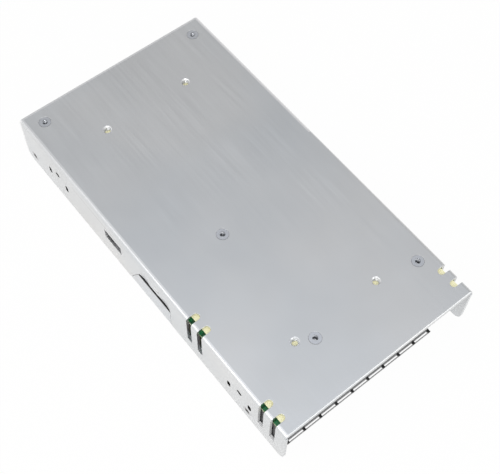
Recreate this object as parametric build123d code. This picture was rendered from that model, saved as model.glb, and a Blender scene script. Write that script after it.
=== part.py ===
from build123d import *
import math
import os

# A slim enclosed switching power supply: a folded aluminium chassis, a perforated cover
# with its fan, and the board with its parts between them. Everything is drawn with the
# base plate down and the terminals towards -Y, and turn_over lays it on its cover at the
# end. The wall with the range selector is +X while drawing and -X once turned over.

# Case
case_length = 215.0
case_width = 115.0
case_height = 30.0
sheet = 1.5
wall_inside = case_width / 2 - sheet
fold_radius = 2.0
lip_setback = 0.3
lip_height = 2.5
lip_radius = 0.9
lip_relief = 0.3
relief_depth = 1.2
ear_corner = 4.5
rear_corner = 6.0

# Threaded mounting holes in the plate and in both walls
mount_bore = 3.5
mount_mouth = 4.7
mount_collar = 6.2
collar_height = 2.0
mount_pitch_x = 50.0
mount_pitch_y = 150.0
side_mount_height = 12.0
side_collar_height = 1.0

# Upright slots beside each side mounting hole
peg_slot_width = 2.4
peg_slot_height = 5.0
peg_slot_offset = 7.6
peg_slot_centre = 16.0

# Slots that run from the plate round the fold and up the wall
fold_slot_width = 3.6
fold_slot_reach = 6.4
fold_slot_top = 21.2
fold_slot_corner = 0.5
front_fold_slots = (-98.8, -90.5)
middle_fold_slots = (-45.3, -37.2)

# Window of the range selector
window_y = 25.6
window_height = 13.05
window_size_y = 14.0
window_size_z = 6.9
window_corner = 0.4

# Opening in the wall for the cover's tab, with two pressed hollows above it
tab_front = -22.0
tab_rear = 3.4
tab_root_rear = 13.0
tab_sill = 13.5
tab_slit = 1.1
tab_gap = 0.3
tab_corner = 1.2
hollow_ys = (-1.0, -17.0)
hollow_height = 13.2
hollow_radius = 26.0
hollow_depth = 0.5
scoop_radius = 2.5
scoop_depth = 0.45
scoop_end = 1.5

# Cover
cover_sheet = 1.0
cover_gap = 0.2
cover_fold = 1.5
cover_front = -88.5
flange_height = 9.5
rear_wall_gap = 0.4
cover_screw_ys = (-81.0, 99.7)
cover_screw_height = 23.2
vent_flat = 6.2
vent_pitch = 8.6
vent_margin = 8.0
rear_vent_low = 11.0
rear_vent_rows = 2

# Screws
screw_shank = 2.6
thread_gap = 0.12
hole_clearance = 0.4
countersink_head = 5.6
cover_screw_length = 5.2
cover_boss = 5.2
cover_boss_height = 1.2
cross_width = 0.6
pan_head = 5.5
pan_height = 2.0

# Board on its standoffs, over an insulating film
board_lift = 5.0
board_thickness = 1.6
board_side_gap = 0.3
board_width = 2 * (wall_inside - board_side_gap)
board_front = -104.5
board_rear = 104.0
board_corner = 1.0
standoff_body = 5.0
standoff_head = 6.2
standoff_head_depth = 0.8
standoff_gap = 0.12
rear_standoff_x = wall_inside - 8.4
front_standoff_x = -(wall_inside - 8.1)
standoffs = ((rear_standoff_x, 98.6), (-rear_standoff_x, 98.6), (16.4, -10.2), (16.5, -79.3),
             (front_standoff_x, -79.5))
film = 0.4
film_selector_gap = 2.4
film_plain_gap = 0.3
film_front = -103.0
film_rear = 104.5
film_hole_gap = 1.0

# Terminal block
poles = 9
rib = 1.6
block_end_gap = 0.4
adjuster_bay = 23.6
pole_pitch = (2 * wall_inside - block_end_gap - rib - adjuster_bay) / poles
block_height = 18.6
deck_height = 10.0
deck_sheet = 2.0
body_front = -104.8
deck_front = -102.0
ledge_front = -106.05
ledge_low = 4.8
ledge_thickness = 1.2
rib_top_front = -101.6
block_rear = -88.6
back_wall = 2.4
rail_front = -107.3
rail_depth = 0.35
rail_bridge = 1.2
terminal_y = -96.4
contact_width = pole_pitch - rib - 1.0
contact_sheet = 0.8
contact_leg_y = -92.4
contact_tail = 2.4
tail_length = 2.3
contact_gap = 0.1
clamp_size = pole_pitch - rib - 1.2
clamp_thickness = 1.1
clamp_lift = 0.6
clamp_foot = 0.8
terminal_thread = 3.5
terminal_thread_gap = 0.15
terminal_screw_length = 9.0
terminal_head = 6.0
terminal_head_height = 2.4
terminal_slot = 0.9

# Trim potentiometer and lamp beside the terminals
trim_x = -(wall_inside - 9.5)
trim_y = -97.5
trim_width = 9.6
trim_height = 4.9
trim_rotor = 5.0
trim_rotor_height = 1.8
trim_sink = 0.2
trim_gap = 0.05
trim_slot = 0.9
lamp_x = -(wall_inside - 17.8)
lamp_y = -100.0
lamp_diameter = 3.0
lamp_flange = 3.8
lamp_flange_height = 1.0
lamp_height = 5.6

# Range selector
selector_length = 23.0
selector_depth = 6.2
selector_top = 19.4
selector_shell = 1.0
selector_gap = 0.3
knob_length = 8.6
knob_ridges = 4
knob_ridge = 0.8

# Fan under the cover
fan_size = 60.0
fan_side_gap = 4.8
fan_x = -(wall_inside - cover_gap - cover_sheet - fan_side_gap - fan_size / 2)
fan_y = 57.0
fan_depth = 10.0
fan_corner = 3.5
fan_bore = 56.6
fan_tip_gap = 0.8
fan_hub = 27.0
fan_hub_wall = 1.2
fan_top_gap = 0.8
fan_base = 1.6
fan_running_gap = 0.5
fan_strut = 3.4
fan_struts = 4
fan_bearing = 5.0
fan_bearing_length = 4.6
fan_shaft = 2.0
fan_shaft_gap = 0.05
fan_stator_diameter = 21.0
fan_stator_gap = 0.05
fan_blades = 7
blade_thickness = 1.1
blade_root_chord = 9.0
blade_tip_chord = 16.0
blade_root_angle = 42.0
blade_tip_angle = 22.0
fan_screw_pitch = 50.0
fan_screw_head = 4.8
fan_screw_sink = 0.9
fan_screw_length = 8.0
guard_rings = (12.2, 16.6, 21.0, 25.4)
guard_slot = 2.9
guard_spokes = 4
guard_spoke = 2.6

# Heat spreading bars beside the walls, and what is screwed to them
bar_depth = 4.0
bar_upper_depth = 2.8
bar_low = 7.6
bar_top = 27.0
pad = 0.4
input_bar = (39.0, 95.0)
output_bar = (-34.0, 26.0)
side_hole_relief = 8.4
device_pad = 0.3
device_width = 10.2
device_body_height = 9.4
device_tab_height = 15.6
device_depth = 4.5
device_tab = 1.3
device_low = 9.6
device_screw_height = 12.6
device_lead = 0.8
lead_pitch = 2.54
transistor_ys = (67.0, 86.0)
rectifier_ys = (-24.0, -4.0, 16.0)
bridge_y = 50.4
bridge_width = 21.8
bridge_height = 17.8
bridge_depth = 3.6

# Wound parts, each core as length, width and thickness
main_place = (-9.0, 5.0)
main_core = (38.0, 36.0, 14.0)
main_leg = 10.0
main_yoke = 7.0
main_winding_rise = 3.0
driver_place = (wall_inside - 11.5, -4.5)
driver_core = (18.0, 16.0, 7.0)
driver_leg = 4.6
driver_yoke = 3.2
driver_winding_rise = 2.2
bobbin_wall = 0.8
bobbin_gap = 0.15
winding_inset = 0.4
line_choke_place = (wall_inside - 19.5, -50.0)
line_choke_core = (20.0, 26.0, 7.0)
line_choke_leg = 5.0
line_choke_winding = 2.2
line_choke_foot = 3.2
output_choke_place = (-(wall_inside - 22.0), -50.0)
output_choke_outer = 15.0
output_choke_inner = 8.0
output_choke_height = 13.0
output_choke_winding = 1.8
output_choke_arc = 310.0

# Parts that stand on the board
lying_lift = 0.1
fuse_place = (wall_inside - 5.5, -75.0)
fuse_glass = 5.0
fuse_cap = 5.6
fuse_cap_wall = 0.25
fuse_length = 20.0
fuse_cap_length = 5.0
thermistor_place = (wall_inside - 16.0, -78.0)
thermistor_diameter = 14.0
thermistor_depth = 5.0
first_line_x = line_choke_place[0] - 19.0
line_capacitors = (((first_line_x, -56.0), (9.0, 26.0, 17.0)),
                   ((wall_inside - 12.0, -24.0), (7.0, 18.0, 14.0)))
line_capacitor_edge = 0.6
safety_x = first_line_x - 10.5
safety_capacitor_places = ((safety_x, -72.0), (safety_x, -58.0), (safety_x, -44.0))
safety_capacitor_diameter = 9.0
safety_capacitor_depth = 4.0
disc_lead = 0.8
disc_lead_pitch = 7.5
disc_lift = 1.5
bulk_ys = (16.0, 62.0)
bulk_diameter = 20.0
bulk_fan_gap = 4.0
bulk_x = fan_x + (fan_size + bulk_diameter) / 2 + bulk_fan_gap
bulk_length = 40.0
bulk_lead = 1.2
bulk_lead_pitch = 10.0
bulk_lead_reach = 2.2
can_rim = 0.06
output_capacitor_places = ((-9.0, -80.0), (-21.5, -80.0), (-34.0, -80.0), (-9.0, -67.0), (-9.0, -54.0))
output_capacitor_diameter = 10.0
output_capacitor_height = 20.0
small_capacitor_places = ((-(wall_inside - 12.0), 92.0), (-(wall_inside - 22.0), 94.0), (-2.0, 94.0))
small_capacitor_diameter = 6.3
small_capacitor_height = 11.0
control_chip_place = (-22.0, 44.0)
control_chip_size = (19.4, 6.4, 3.4)
control_chip_pins = 8
opto_places = ((2.0, 40.0), (2.0, 54.0))
opto_size = (6.4, 4.6, 3.4)
opto_pins = 2
chip_lift = 0.5
chip_pin = 0.5
resistor_places = ((-38.0, 70.0), (-30.0, 70.0), (-22.0, 70.0))
resistor_diameter = 4.6
resistor_length = 13.0
resistor_lead = 0.8
socket_place = (-(wall_inside - 12.0), 80.5)
socket_size = (7.4, 5.8, 6.8)
socket_wall = 0.8

# Heights and faces that the others are worked out from
board_top = board_lift + board_thickness
cover_outside = wall_inside - cover_gap
cover_inside = case_height - cover_sheet
flange_low = case_height - flange_height
case_front = -case_length / 2
case_rear = case_length / 2
rear_face = case_rear - cover_gap
fan_low = cover_inside - fan_depth
deck_top = board_top + deck_height
bar_face = wall_inside - pad - bar_depth
device_face = bar_face - device_pad
device_screw_z = device_low + device_screw_height


def block(x0, x1, y0, y1, z0, z1):
    size = (x1 - x0, y1 - y0, z1 - z0)
    return Pos((x0 + x1) / 2, (y0 + y1) / 2, (z0 + z1) / 2) * Box(*size)


def side_block(side, x0, x1, y0, y1, z0, z1):
    return block(min(side * x0, side * x1), max(side * x0, side * x1), y0, y1, z0, z1)


def on_board(place, size, lift=0.0):
    x, y = place
    return Pos(x, y, board_top + lift + size[2] / 2) * Box(*size)


def rod(x, y, z0, z1, diameter):
    return Pos(x, y, (z0 + z1) / 2) * Cylinder(diameter / 2, z1 - z0)


def side_rod(side, x, y, z, length, diameter):
    return Pos(x + side * length / 2, y, z) * Rot(0, 90, 0) * Cylinder(diameter / 2, length)


def through_wall(side, outline, reach=sheet + 1):
    wall_plane = Plane.YZ.offset(side * case_width / 2)
    return extrude(wall_plane * outline, amount=reach, both=True)


def mount_points():
    return [(x, y) for x in (-mount_pitch_x / 2, mount_pitch_x / 2)
            for y in (-mount_pitch_y / 2, mount_pitch_y / 2)]


def folded_section():
    outer = Pos(0, case_height / 2) * Rectangle(case_width, case_height)
    outer = fillet(outer.vertices().group_by(Axis.Y)[0], fold_radius)
    inner = Pos(0, case_height / 2 + sheet) * Rectangle(2 * wall_inside, case_height)
    inner = fillet(inner.vertices().group_by(Axis.Y)[0], fold_radius - sheet)
    return outer - inner


def side_outline():
    outline = Pos(0, case_height / 2) * Rectangle(case_length, case_height)
    outline = fillet(outline.vertices().group_by(Axis.Y)[-1].sort_by(Axis.X)[0], ear_corner)
    return fillet(outline.vertices().group_by(Axis.Y)[-1].sort_by(Axis.X)[-1], rear_corner)


def fold_slot(side, y):
    edge = case_width / 2
    end = edge - fold_slot_reach + fold_slot_width / 2
    half = fold_slot_width / 2
    run = side_block(side, end, edge + 1, y - half, y + half, -1, sheet + 1)
    tip = rod(side * end, y, -1, sheet + 1, fold_slot_width)
    outline = Pos(y, fold_slot_top / 2) * Rectangle(fold_slot_width, fold_slot_top)
    outline = fillet(outline.vertices().group_by(Axis.Y)[-1], fold_slot_corner)
    return run + tip + through_wall(side, outline, fold_radius + 1)


def tab_slant(height):
    return tab_rear + (tab_root_rear - tab_rear) * (height - tab_sill) / (case_height - tab_sill)


def tab_outline(gap, low, top):
    front = tab_front + gap
    outline = make_face(Polyline(
        (front, low), (tab_slant(low) - gap, low), (tab_slant(top) - gap, top), (front, top), close=True))
    return fillet(outline.vertices().group_by(Axis.Y)[0], tab_corner)


def pressed_hollows():
    centre_x = case_width / 2 + hollow_radius - hollow_depth
    hollows = [Pos(centre_x, y, hollow_height) * Sphere(hollow_radius) for y in hollow_ys]
    length = tab_rear - tab_front - 2 * scoop_end
    scoop = Cylinder(scoop_radius, length)
    scoop = chamfer(scoop.edges(), scoop_end, scoop_depth * 2)
    centre_x = case_width / 2 + scoop_radius - scoop_depth
    return hollows + [Pos(centre_x, (tab_front + tab_rear) / 2, tab_sill) * Rot(90, 0, 0) * scoop]


def side_collars(side):
    return [side_rod(-side, side * wall_inside, y, side_mount_height, side_collar_height, mount_collar)
            for y in (-mount_pitch_y / 2, mount_pitch_y / 2)]


def side_mount_cuts(side):
    cuts = []
    slot = SlotOverall(peg_slot_height, peg_slot_width, rotation=90)
    for y in (-mount_pitch_y / 2, mount_pitch_y / 2):
        bore = Pos(y, side_mount_height) * Circle(mount_bore / 2)
        cuts.append(through_wall(side, bore, sheet + side_collar_height + 1))
        for shift in (-peg_slot_offset, peg_slot_offset):
            cuts.append(through_wall(side, Pos(y + shift, peg_slot_centre) * slot))
    return cuts


def cover_screw_cuts(side):
    cuts = []
    depth = (countersink_head - screw_shank) / 2
    small = (screw_shank + hole_clearance) / 2
    large = (countersink_head + hole_clearance) / 2
    for y in cover_screw_ys:
        cuts.append(through_wall(side, Pos(y, cover_screw_height) * Circle(small)))
        mouth = Pos(side * (case_width / 2 - depth / 2), y, cover_screw_height) * Rot(0, side * 90, 0)
        cuts.append(mouth * Cone(small, large, depth))
    return cuts


def front_lip():
    front = case_front + lip_setback
    lip = block(-wall_inside, wall_inside, front, front + sheet, sheet / 2, lip_height)
    ears = block(-case_width, case_width, case_front - 1, front, -1, lip_height)
    slit = block(-case_width, case_width, case_front - 1, case_front + relief_depth,
                 lip_height, lip_height + lip_relief)
    edge = block(-case_width, case_width, front - 1, front + lip_radius, -1, lip_radius)
    round_bar = Rot(0, 90, 0) * Cylinder(lip_radius, 2 * case_width)
    round_bar = Pos(0, front + lip_radius, lip_radius) * round_bar
    return lip, [ears, slit, edge - round_bar]


def chassis():
    body = extrude(Plane.XZ * folded_section(), amount=case_length / 2, both=True)
    body &= extrude(Plane.YZ * side_outline(), amount=case_width / 2, both=True)
    lip, cuts = front_lip()
    body += lip
    mouth_depth = (mount_mouth - mount_bore) / 2
    for x, y in mount_points():
        body += rod(x, y, sheet / 2, sheet + collar_height, mount_collar)
        cuts.append(rod(x, y, -1, sheet + collar_height + 1, mount_bore))
        cuts.append(Pos(x, y, mouth_depth / 2) * Cone(mount_mouth / 2, mount_bore / 2, mouth_depth))
    for x, y in standoffs:
        cuts.append(rod(x, y, -1, standoff_head_depth, standoff_head + 2 * standoff_gap))
        cuts.append(rod(x, y, -1, sheet + 1, standoff_body + 2 * standoff_gap))
    for side in (-1, 1):
        for collar in side_collars(side):
            body += collar
        cuts += side_mount_cuts(side) + cover_screw_cuts(side)
        cuts += [fold_slot(side, y) for y in front_fold_slots]
    cuts += [fold_slot(1, y) for y in middle_fold_slots]
    cuts.append(through_wall(1, tab_outline(0, tab_sill, case_height + 1)))
    cuts += pressed_hollows()
    window = Pos(window_y, window_height) * Rectangle(window_size_y, window_size_z)
    cuts.append(through_wall(1, fillet(window.vertices(), window_corner)))
    return body - cuts


def standoff_set():
    pieces = []
    for x, y in standoffs:
        piece = rod(x, y, 0, standoff_head_depth, standoff_head) + rod(x, y, 0, board_lift, standoff_body)
        pieces.append(piece - rod(x, y, -1, board_lift + 1, screw_shank + 2 * thread_gap))
    return pieces


def insulation_sheet():
    z = sheet + collar_height
    body = block(film_plain_gap - wall_inside, wall_inside - film_selector_gap,
                 film_front, film_rear, z, z + film)
    return body - [rod(x, y, z - 1, z + film + 1, standoff_body + 2 * film_hole_gap) for x, y in standoffs]


def circuit_board():
    half = board_width / 2
    body = block(-half, half, board_front, board_rear, board_lift, board_top)
    body = fillet(body.edges().filter_by(Axis.Z), board_corner)
    holes = [rod(x, y, board_lift - 1, board_top + 1, screw_shank + hole_clearance) for x, y in standoffs]
    half_x = contact_tail / 2 + 2 * contact_gap
    half_y = contact_sheet / 2 + 2 * contact_gap
    for x in pole_centres():
        holes.append(block(x - half_x, x + half_x, contact_leg_y - half_y, contact_leg_y + half_y,
                           board_lift - 1, board_top + 1))
    return body - holes


def pan_screw(length):
    head = Pos(0, 0, pan_height / 2) * Cylinder(pan_head / 2, pan_height)
    head = fillet(head.edges().group_by(Axis.Z)[-1], pan_height * 0.4)
    arm = pan_head * 0.6
    cross = [Pos(0, 0, pan_height) * Box(arm, cross_width, pan_height),
             Pos(0, 0, pan_height) * Box(cross_width, arm, pan_height)]
    return head - cross + Pos(0, 0, -length / 2) * Cylinder(screw_shank / 2, length)


def sunk_screw(head, depth, length):
    screw = Pos(0, 0, -depth / 2) * Cone(screw_shank / 2, head / 2, depth)
    screw += Pos(0, 0, -length / 2) * Cylinder(screw_shank / 2, length)
    arm = head * 0.55
    return screw - [Box(arm, cross_width, depth), Box(cross_width, arm, depth)]


def board_screws():
    return [Pos(x, y, board_top) * pan_screw(board_thickness + board_lift / 2) for x, y in standoffs]


def cover_screws():
    depth = (countersink_head - screw_shank) / 2
    screw = sunk_screw(countersink_head, depth, cover_screw_length)
    face = case_width / 2 - hole_clearance / 4
    return [Pos(side * face, y, cover_screw_height) * Rot(0, side * 90, 0) * screw
            for side in (-1, 1) for y in cover_screw_ys]


def hex_rows(x_half, y0, y1):
    row_step = vent_pitch * math.sqrt(3) / 2
    centres = []
    for row in range(int((y1 - y0) / row_step) + 1):
        odd = row % 2
        shift = vent_pitch / 2 * odd
        count = int((x_half - shift) / vent_pitch)
        xs = [shift + vent_pitch * i for i in range(-count - odd, count + 1)]
        centres += [(x, y0 + row * row_step) for x in xs]
    return centres


def clear_of_fan(x, y):
    return max(abs(x - fan_x), abs(y - fan_y)) > (fan_size + vent_flat) / 2 + 1


def hexagon():
    return RegularPolygon(vent_flat / math.sqrt(3), 6, rotation=30)


def guard_sketch():
    guard = Sketch()
    for radius in guard_rings:
        guard += Circle(radius + guard_slot / 2) - Circle(radius - guard_slot / 2)
    for i in range(guard_spokes):
        guard -= Rot(0, 0, 45 + i * 180 / guard_spokes) * Rectangle(fan_size, guard_spoke)
    return Pos(fan_x, fan_y) * guard


def panel_openings():
    centres = hex_rows(cover_outside - vent_margin, cover_front + vent_margin, rear_face - vent_margin)
    openings = guard_sketch() + [Pos(x, y) * hexagon() for x, y in centres if clear_of_fan(x, y)]
    return extrude(Plane.XY.offset(cover_inside - 1) * openings, amount=cover_sheet + 2)


def rear_openings():
    high = rear_vent_low + (rear_vent_rows - 1) * vent_pitch
    centres = hex_rows(cover_outside - 2 * vent_margin, rear_vent_low, high)
    openings = Sketch() + [Pos(x, z) * hexagon() for x, z in centres]
    return extrude(Plane.XZ.offset(-case_rear - 1) * openings, amount=cover_sheet + 3)


def fan_screw_points():
    half = fan_screw_pitch / 2
    return [(fan_x + sx * half, fan_y + sy * half) for sx in (-1, 1) for sy in (-1, 1)]


def fan_screw_cuts():
    cuts = []
    small = (screw_shank + hole_clearance) / 2
    large = (fan_screw_head + hole_clearance) / 2
    for x, y in fan_screw_points():
        cuts.append(rod(x, y, cover_inside - 1, case_height, 2 * small))
        cuts.append(Pos(x, y, case_height - fan_screw_sink / 2) * Cone(small, large, fan_screw_sink))
    return cuts


def cover_tray():
    outer = Pos(0, case_height - flange_height / 2) * Rectangle(2 * cover_outside, flange_height)
    outer = fillet(outer.vertices().group_by(Axis.Y)[-1], cover_fold)
    inner_width = 2 * (cover_outside - cover_sheet)
    inner = Pos(0, cover_inside - flange_height / 2) * Rectangle(inner_width, flange_height)
    inner = fillet(inner.vertices().group_by(Axis.Y)[-1], cover_fold - cover_sheet)
    length = rear_face - rear_corner - cover_front
    tray = extrude(Plane.XZ.offset(-cover_front) * (outer - inner), amount=-length)
    return tray - block(cover_outside - cover_sheet, cover_outside + 1, tab_front - tab_gap,
                        tab_root_rear + tab_gap, flange_low - 1, cover_inside)


def cover_rear():
    run = 2 * rear_corner
    tall = case_height - sheet - rear_wall_gap
    outer = Pos(rear_face - run / 2, case_height - tall / 2) * Rectangle(run, tall)
    outer = fillet(outer.vertices().group_by(Axis.Y)[-1].sort_by(Axis.X)[-1], cover_fold)
    inner = Pos(rear_face - run / 2 - cover_sheet, cover_inside - tall / 2) * Rectangle(run, tall)
    inner = fillet(inner.vertices().group_by(Axis.Y)[-1].sort_by(Axis.X)[-1], cover_fold - cover_sheet)
    return extrude(Plane.YZ * (outer - inner), amount=cover_outside - cover_fold, both=True)


def cover_tab():
    outside = case_width / 2
    outline = tab_outline(tab_gap, tab_sill + tab_slit, case_height)
    tab = extrude(Plane.YZ.offset(outside - cover_sheet) * outline, amount=cover_sheet)
    tab += block(cover_outside - cover_fold, outside, tab_front + tab_gap,
                 tab_slant(cover_inside) - tab_gap, cover_inside, case_height)
    corner = tab.edges().filter_by(Axis.Y).sort_by(lambda edge: edge.center().X + edge.center().Z)[-1]
    return fillet(corner, cover_fold / 2)


def cover():
    body = cover_tray() + cover_rear() + cover_tab()
    cuts = [panel_openings(), rear_openings()] + fan_screw_cuts()
    reach = sheet + cover_gap + cover_sheet + cover_boss_height + 1
    thread = Circle(screw_shank / 2 + thread_gap)
    for side in (-1, 1):
        for y in cover_screw_ys:
            face = side * (cover_outside - cover_sheet)
            body += side_rod(-side, face, y, cover_screw_height, cover_boss_height, cover_boss)
            cuts.append(through_wall(side, Pos(y, cover_screw_height) * thread, reach))
    return body - cuts


def block_span():
    last = wall_inside - block_end_gap
    return last - poles * pole_pitch - rib, last


def pole_centres():
    first = block_span()[0]
    return [first + rib / 2 + pole_pitch * (i + 0.5) for i in range(poles)]


def terminal_profile():
    top = board_top + block_height
    back = block_rear - back_wall
    ledge_top = board_top + ledge_low + ledge_thickness
    return make_face(Polyline(
        (body_front, board_top), (body_front, ledge_top), (deck_front, deck_top),
        (back, deck_top), (back, top), (block_rear, top), (block_rear, board_top), close=True))


def rib_profile():
    top = board_top + block_height
    ledge = board_top + ledge_low
    return make_face(Polyline(
        (body_front, board_top), (body_front, ledge), (ledge_front, ledge),
        (ledge_front, ledge + ledge_thickness), (rib_top_front, top), (block_rear, top),
        (block_rear, board_top), close=True))


def terminal_block():
    first, last = block_span()
    body = extrude(Plane.YZ.offset(first) * terminal_profile(), amount=last - first)
    for i in range(poles + 1):
        body += extrude(Plane.YZ.offset(first + i * pole_pitch) * rib_profile(), amount=rib)
    low = board_top + ledge_low
    high = low + ledge_thickness
    body += block(first, last, ledge_front, body_front, low, high)
    body += block(first, last, rail_front, rail_front + rail_depth, low, high)
    for i in range(poles + 1):
        x = first + rib / 2 + i * pole_pitch
        body += block(x - rail_bridge / 2, x + rail_bridge / 2, rail_front, ledge_front, low, high)
    half = (pole_pitch - rib) / 2
    leg_half = contact_width / 2 + contact_gap
    leg_depth = contact_sheet / 2 + contact_gap
    cuts = []
    for x in pole_centres():
        cuts.append(block(x - half, x + half, deck_front + rib, block_rear - back_wall,
                          board_top, deck_top - deck_sheet))
        cuts.append(rod(x, terminal_y, board_top, deck_top + 1, terminal_thread + 4 * terminal_thread_gap))
        cuts.append(block(x - leg_half, x + leg_half, contact_leg_y - leg_depth, contact_leg_y + leg_depth,
                          board_top, deck_top + 1))
    return body - cuts


def terminal_contacts():
    pieces = []
    tail_low = board_top - tail_length
    y0 = contact_leg_y - contact_sheet / 2
    y1 = contact_leg_y + contact_sheet / 2
    half = contact_width / 2
    foot = board_top + contact_gap
    for x in pole_centres():
        strip = block(x - half, x + half, deck_front + contact_sheet, y1,
                      deck_top, deck_top + contact_sheet)
        strip += block(x - half, x + half, y0, y1, foot, deck_top)
        strip += block(x - contact_tail / 2, x + contact_tail / 2, y0, y1, tail_low, foot)
        bore = rod(x, terminal_y, deck_top - 1, deck_top + 2, terminal_thread + 2 * terminal_thread_gap)
        pieces.append(strip - bore)
    return pieces


def terminal_clamps():
    z = deck_top + contact_sheet + clamp_lift
    half = clamp_size / 2
    pieces = []
    for x in pole_centres():
        plate = block(x - half, x + half, terminal_y - half, terminal_y + half, z, z + clamp_thickness)
        for y in (terminal_y - half, terminal_y + half - clamp_foot):
            plate += block(x - half, x + half, y, y + clamp_foot, z - clamp_lift, z)
        pieces.append(plate - rod(x, terminal_y, z - 1, z + 3, terminal_thread + 2 * terminal_thread_gap))
    return pieces


def terminal_screws():
    seat = deck_top + contact_sheet + clamp_lift + clamp_thickness
    low = seat + terminal_head_height - terminal_screw_length
    arm = terminal_head * 0.72
    pieces = []
    for x in pole_centres():
        head = rod(x, terminal_y, seat, seat + terminal_head_height, terminal_head)
        head = fillet(head.edges().group_by(Axis.Z)[-1], terminal_head_height * 0.3)
        top = Pos(x, terminal_y, seat + terminal_head_height)
        head -= [top * Box(arm, terminal_slot, terminal_head_height),
                 top * Box(terminal_slot, arm, terminal_head_height)]
        pieces.append(head + rod(x, terminal_y, low, seat, terminal_thread))
    return pieces


def trim_pot_body():
    body = on_board((trim_x, trim_y), (trim_width, trim_width, trim_height))
    body = fillet(body.edges().filter_by(Axis.Z), trim_rotor_height / 2)
    top = board_top + trim_height
    depth = trim_sink + trim_rotor_height + trim_gap
    return body - rod(trim_x, trim_y, top - depth, top + 1, trim_rotor + 2 * trim_gap)


def trim_pot_rotor():
    top = board_top + trim_height - trim_sink
    rotor = rod(trim_x, trim_y, top - trim_rotor_height, top, trim_rotor)
    arm = trim_rotor * 0.8
    return rotor - [Pos(trim_x, trim_y, top) * Box(arm, trim_slot, trim_rotor_height),
                    Pos(trim_x, trim_y, top) * Box(trim_slot, arm, trim_rotor_height)]


def status_lamp():
    shoulder = board_top + lamp_height - lamp_diameter / 2
    lamp = rod(lamp_x, lamp_y, board_top, board_top + lamp_flange_height, lamp_flange)
    lamp += rod(lamp_x, lamp_y, board_top, shoulder, lamp_diameter)
    return lamp + Pos(lamp_x, lamp_y, shoulder) * Sphere(lamp_diameter / 2)


def selector_body():
    face = board_width / 2
    half = selector_length / 2
    body = block(face - selector_depth, face, window_y - half, window_y + half, board_top, selector_top)
    body = fillet(body.edges().filter_by(Axis.X), selector_shell)
    pocket_y = window_size_y / 2
    pocket_z = window_size_z / 2
    floor = face - selector_depth + selector_shell
    return body - block(floor, face + 1, window_y - pocket_y, window_y + pocket_y,
                        window_height - pocket_z, window_height + pocket_z)


def selector_slider():
    face = board_width / 2
    front = window_y - window_size_y / 2 + selector_gap
    half_z = window_size_z / 2 - selector_gap
    low = face - selector_depth + selector_shell + selector_gap
    knob = block(low, face, front, front + knob_length, window_height - half_z, window_height + half_z)
    step = knob_length / (knob_ridges + 1)
    centres = [front + step * (i + 1) for i in range(knob_ridges)]
    return knob - [block(face - knob_ridge, face + 1, y - knob_ridge / 2, y + knob_ridge / 2,
                         window_height - half_z, window_height + half_z) for y in centres]


def fan_frame():
    plate = Rectangle(fan_size, fan_size)
    plate = fillet(plate.vertices(), fan_corner) - Circle(fan_bore / 2)
    half = fan_screw_pitch / 2
    plate -= [Pos(sx * half, sy * half) * Circle(screw_shank / 2 + thread_gap)
              for sx in (-1, 1) for sy in (-1, 1)]
    body = extrude(plate, amount=fan_depth)
    struts = Sketch() + Circle(fan_hub / 2)
    for i in range(fan_struts // 2):
        struts += Rot(0, 0, 45 + i * 90) * Rectangle(fan_bore + 1, fan_strut)
    body += extrude(struts & Circle(fan_bore / 2 + 0.5), amount=fan_base)
    body += Pos(0, 0, fan_base + fan_bearing_length / 2) * Cylinder(fan_bearing / 2, fan_bearing_length)
    bore = Pos(0, 0, (fan_depth + fan_base) / 2) * Cylinder(fan_shaft / 2 + fan_shaft_gap, fan_depth)
    return Pos(fan_x, fan_y, fan_low) * (body - bore)


def fan_stator():
    ring = Circle(fan_stator_diameter / 2) - Circle(fan_bearing / 2 + fan_stator_gap)
    arm = fan_stator_diameter / 2
    ring -= [Rot(0, 0, 45 + 90 * i) * Pos(arm, 0) * Rectangle(arm, fan_strut / 2) for i in range(4)]
    return Pos(fan_x, fan_y, fan_low + fan_base) * extrude(ring, amount=fan_bearing_length)


def blade_section(radius, chord, angle):
    low = fan_base + fan_running_gap
    middle = (low + fan_depth - fan_top_gap) / 2
    tilt = math.radians(angle)
    plane = Plane(origin=(radius, 0, middle), x_dir=(0, math.cos(tilt), math.sin(tilt)), z_dir=(1, 0, 0))
    return plane * SlotOverall(chord, blade_thickness)


def fan_rotor():
    top = fan_depth - fan_top_gap
    low = fan_base + fan_running_gap
    hub = Pos(0, 0, (top + low) / 2) * Cylinder(fan_hub / 2, top - low)
    hub -= Pos(0, 0, (top + low) / 2 - fan_hub_wall) * Cylinder(fan_hub / 2 - fan_hub_wall, top - low)
    tip = fan_bore / 2 - fan_tip_gap
    blade = loft([blade_section(tip + 1, blade_tip_chord, blade_tip_angle),
                  blade_section((fan_hub - fan_hub_wall) / 2, blade_root_chord, blade_root_angle)])
    blade &= Cylinder(tip, 4 * fan_depth)
    for i in range(fan_blades):
        hub += Rot(0, 0, 360 * i / fan_blades) * blade
    shaft_low = (fan_base + fan_running_gap) / 2
    hub += Pos(0, 0, (top + shaft_low) / 2) * Cylinder(fan_shaft / 2, top - shaft_low)
    return Pos(fan_x, fan_y, fan_low) * hub


def fan_screws():
    screw = sunk_screw(fan_screw_head, fan_screw_sink, fan_screw_length)
    return [Pos(x, y, case_height - hole_clearance / 8) * screw for x, y in fan_screw_points()]


def bars():
    return (1, input_bar), (-1, output_bar)


def bar_relief(side, span, depth):
    if span[0] < mount_pitch_y / 2 < span[1]:
        start = side * (wall_inside - depth)
        return [side_rod(side, start, mount_pitch_y / 2, side_mount_height, depth, side_hole_relief)]
    return []


def device_sites():
    sites = [(1, y, device_width, device_tab) for y in transistor_ys]
    sites += [(-1, y, device_width, device_tab) for y in rectifier_ys]
    return sites + [(1, bridge_y, bridge_width, bridge_depth)]


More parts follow.
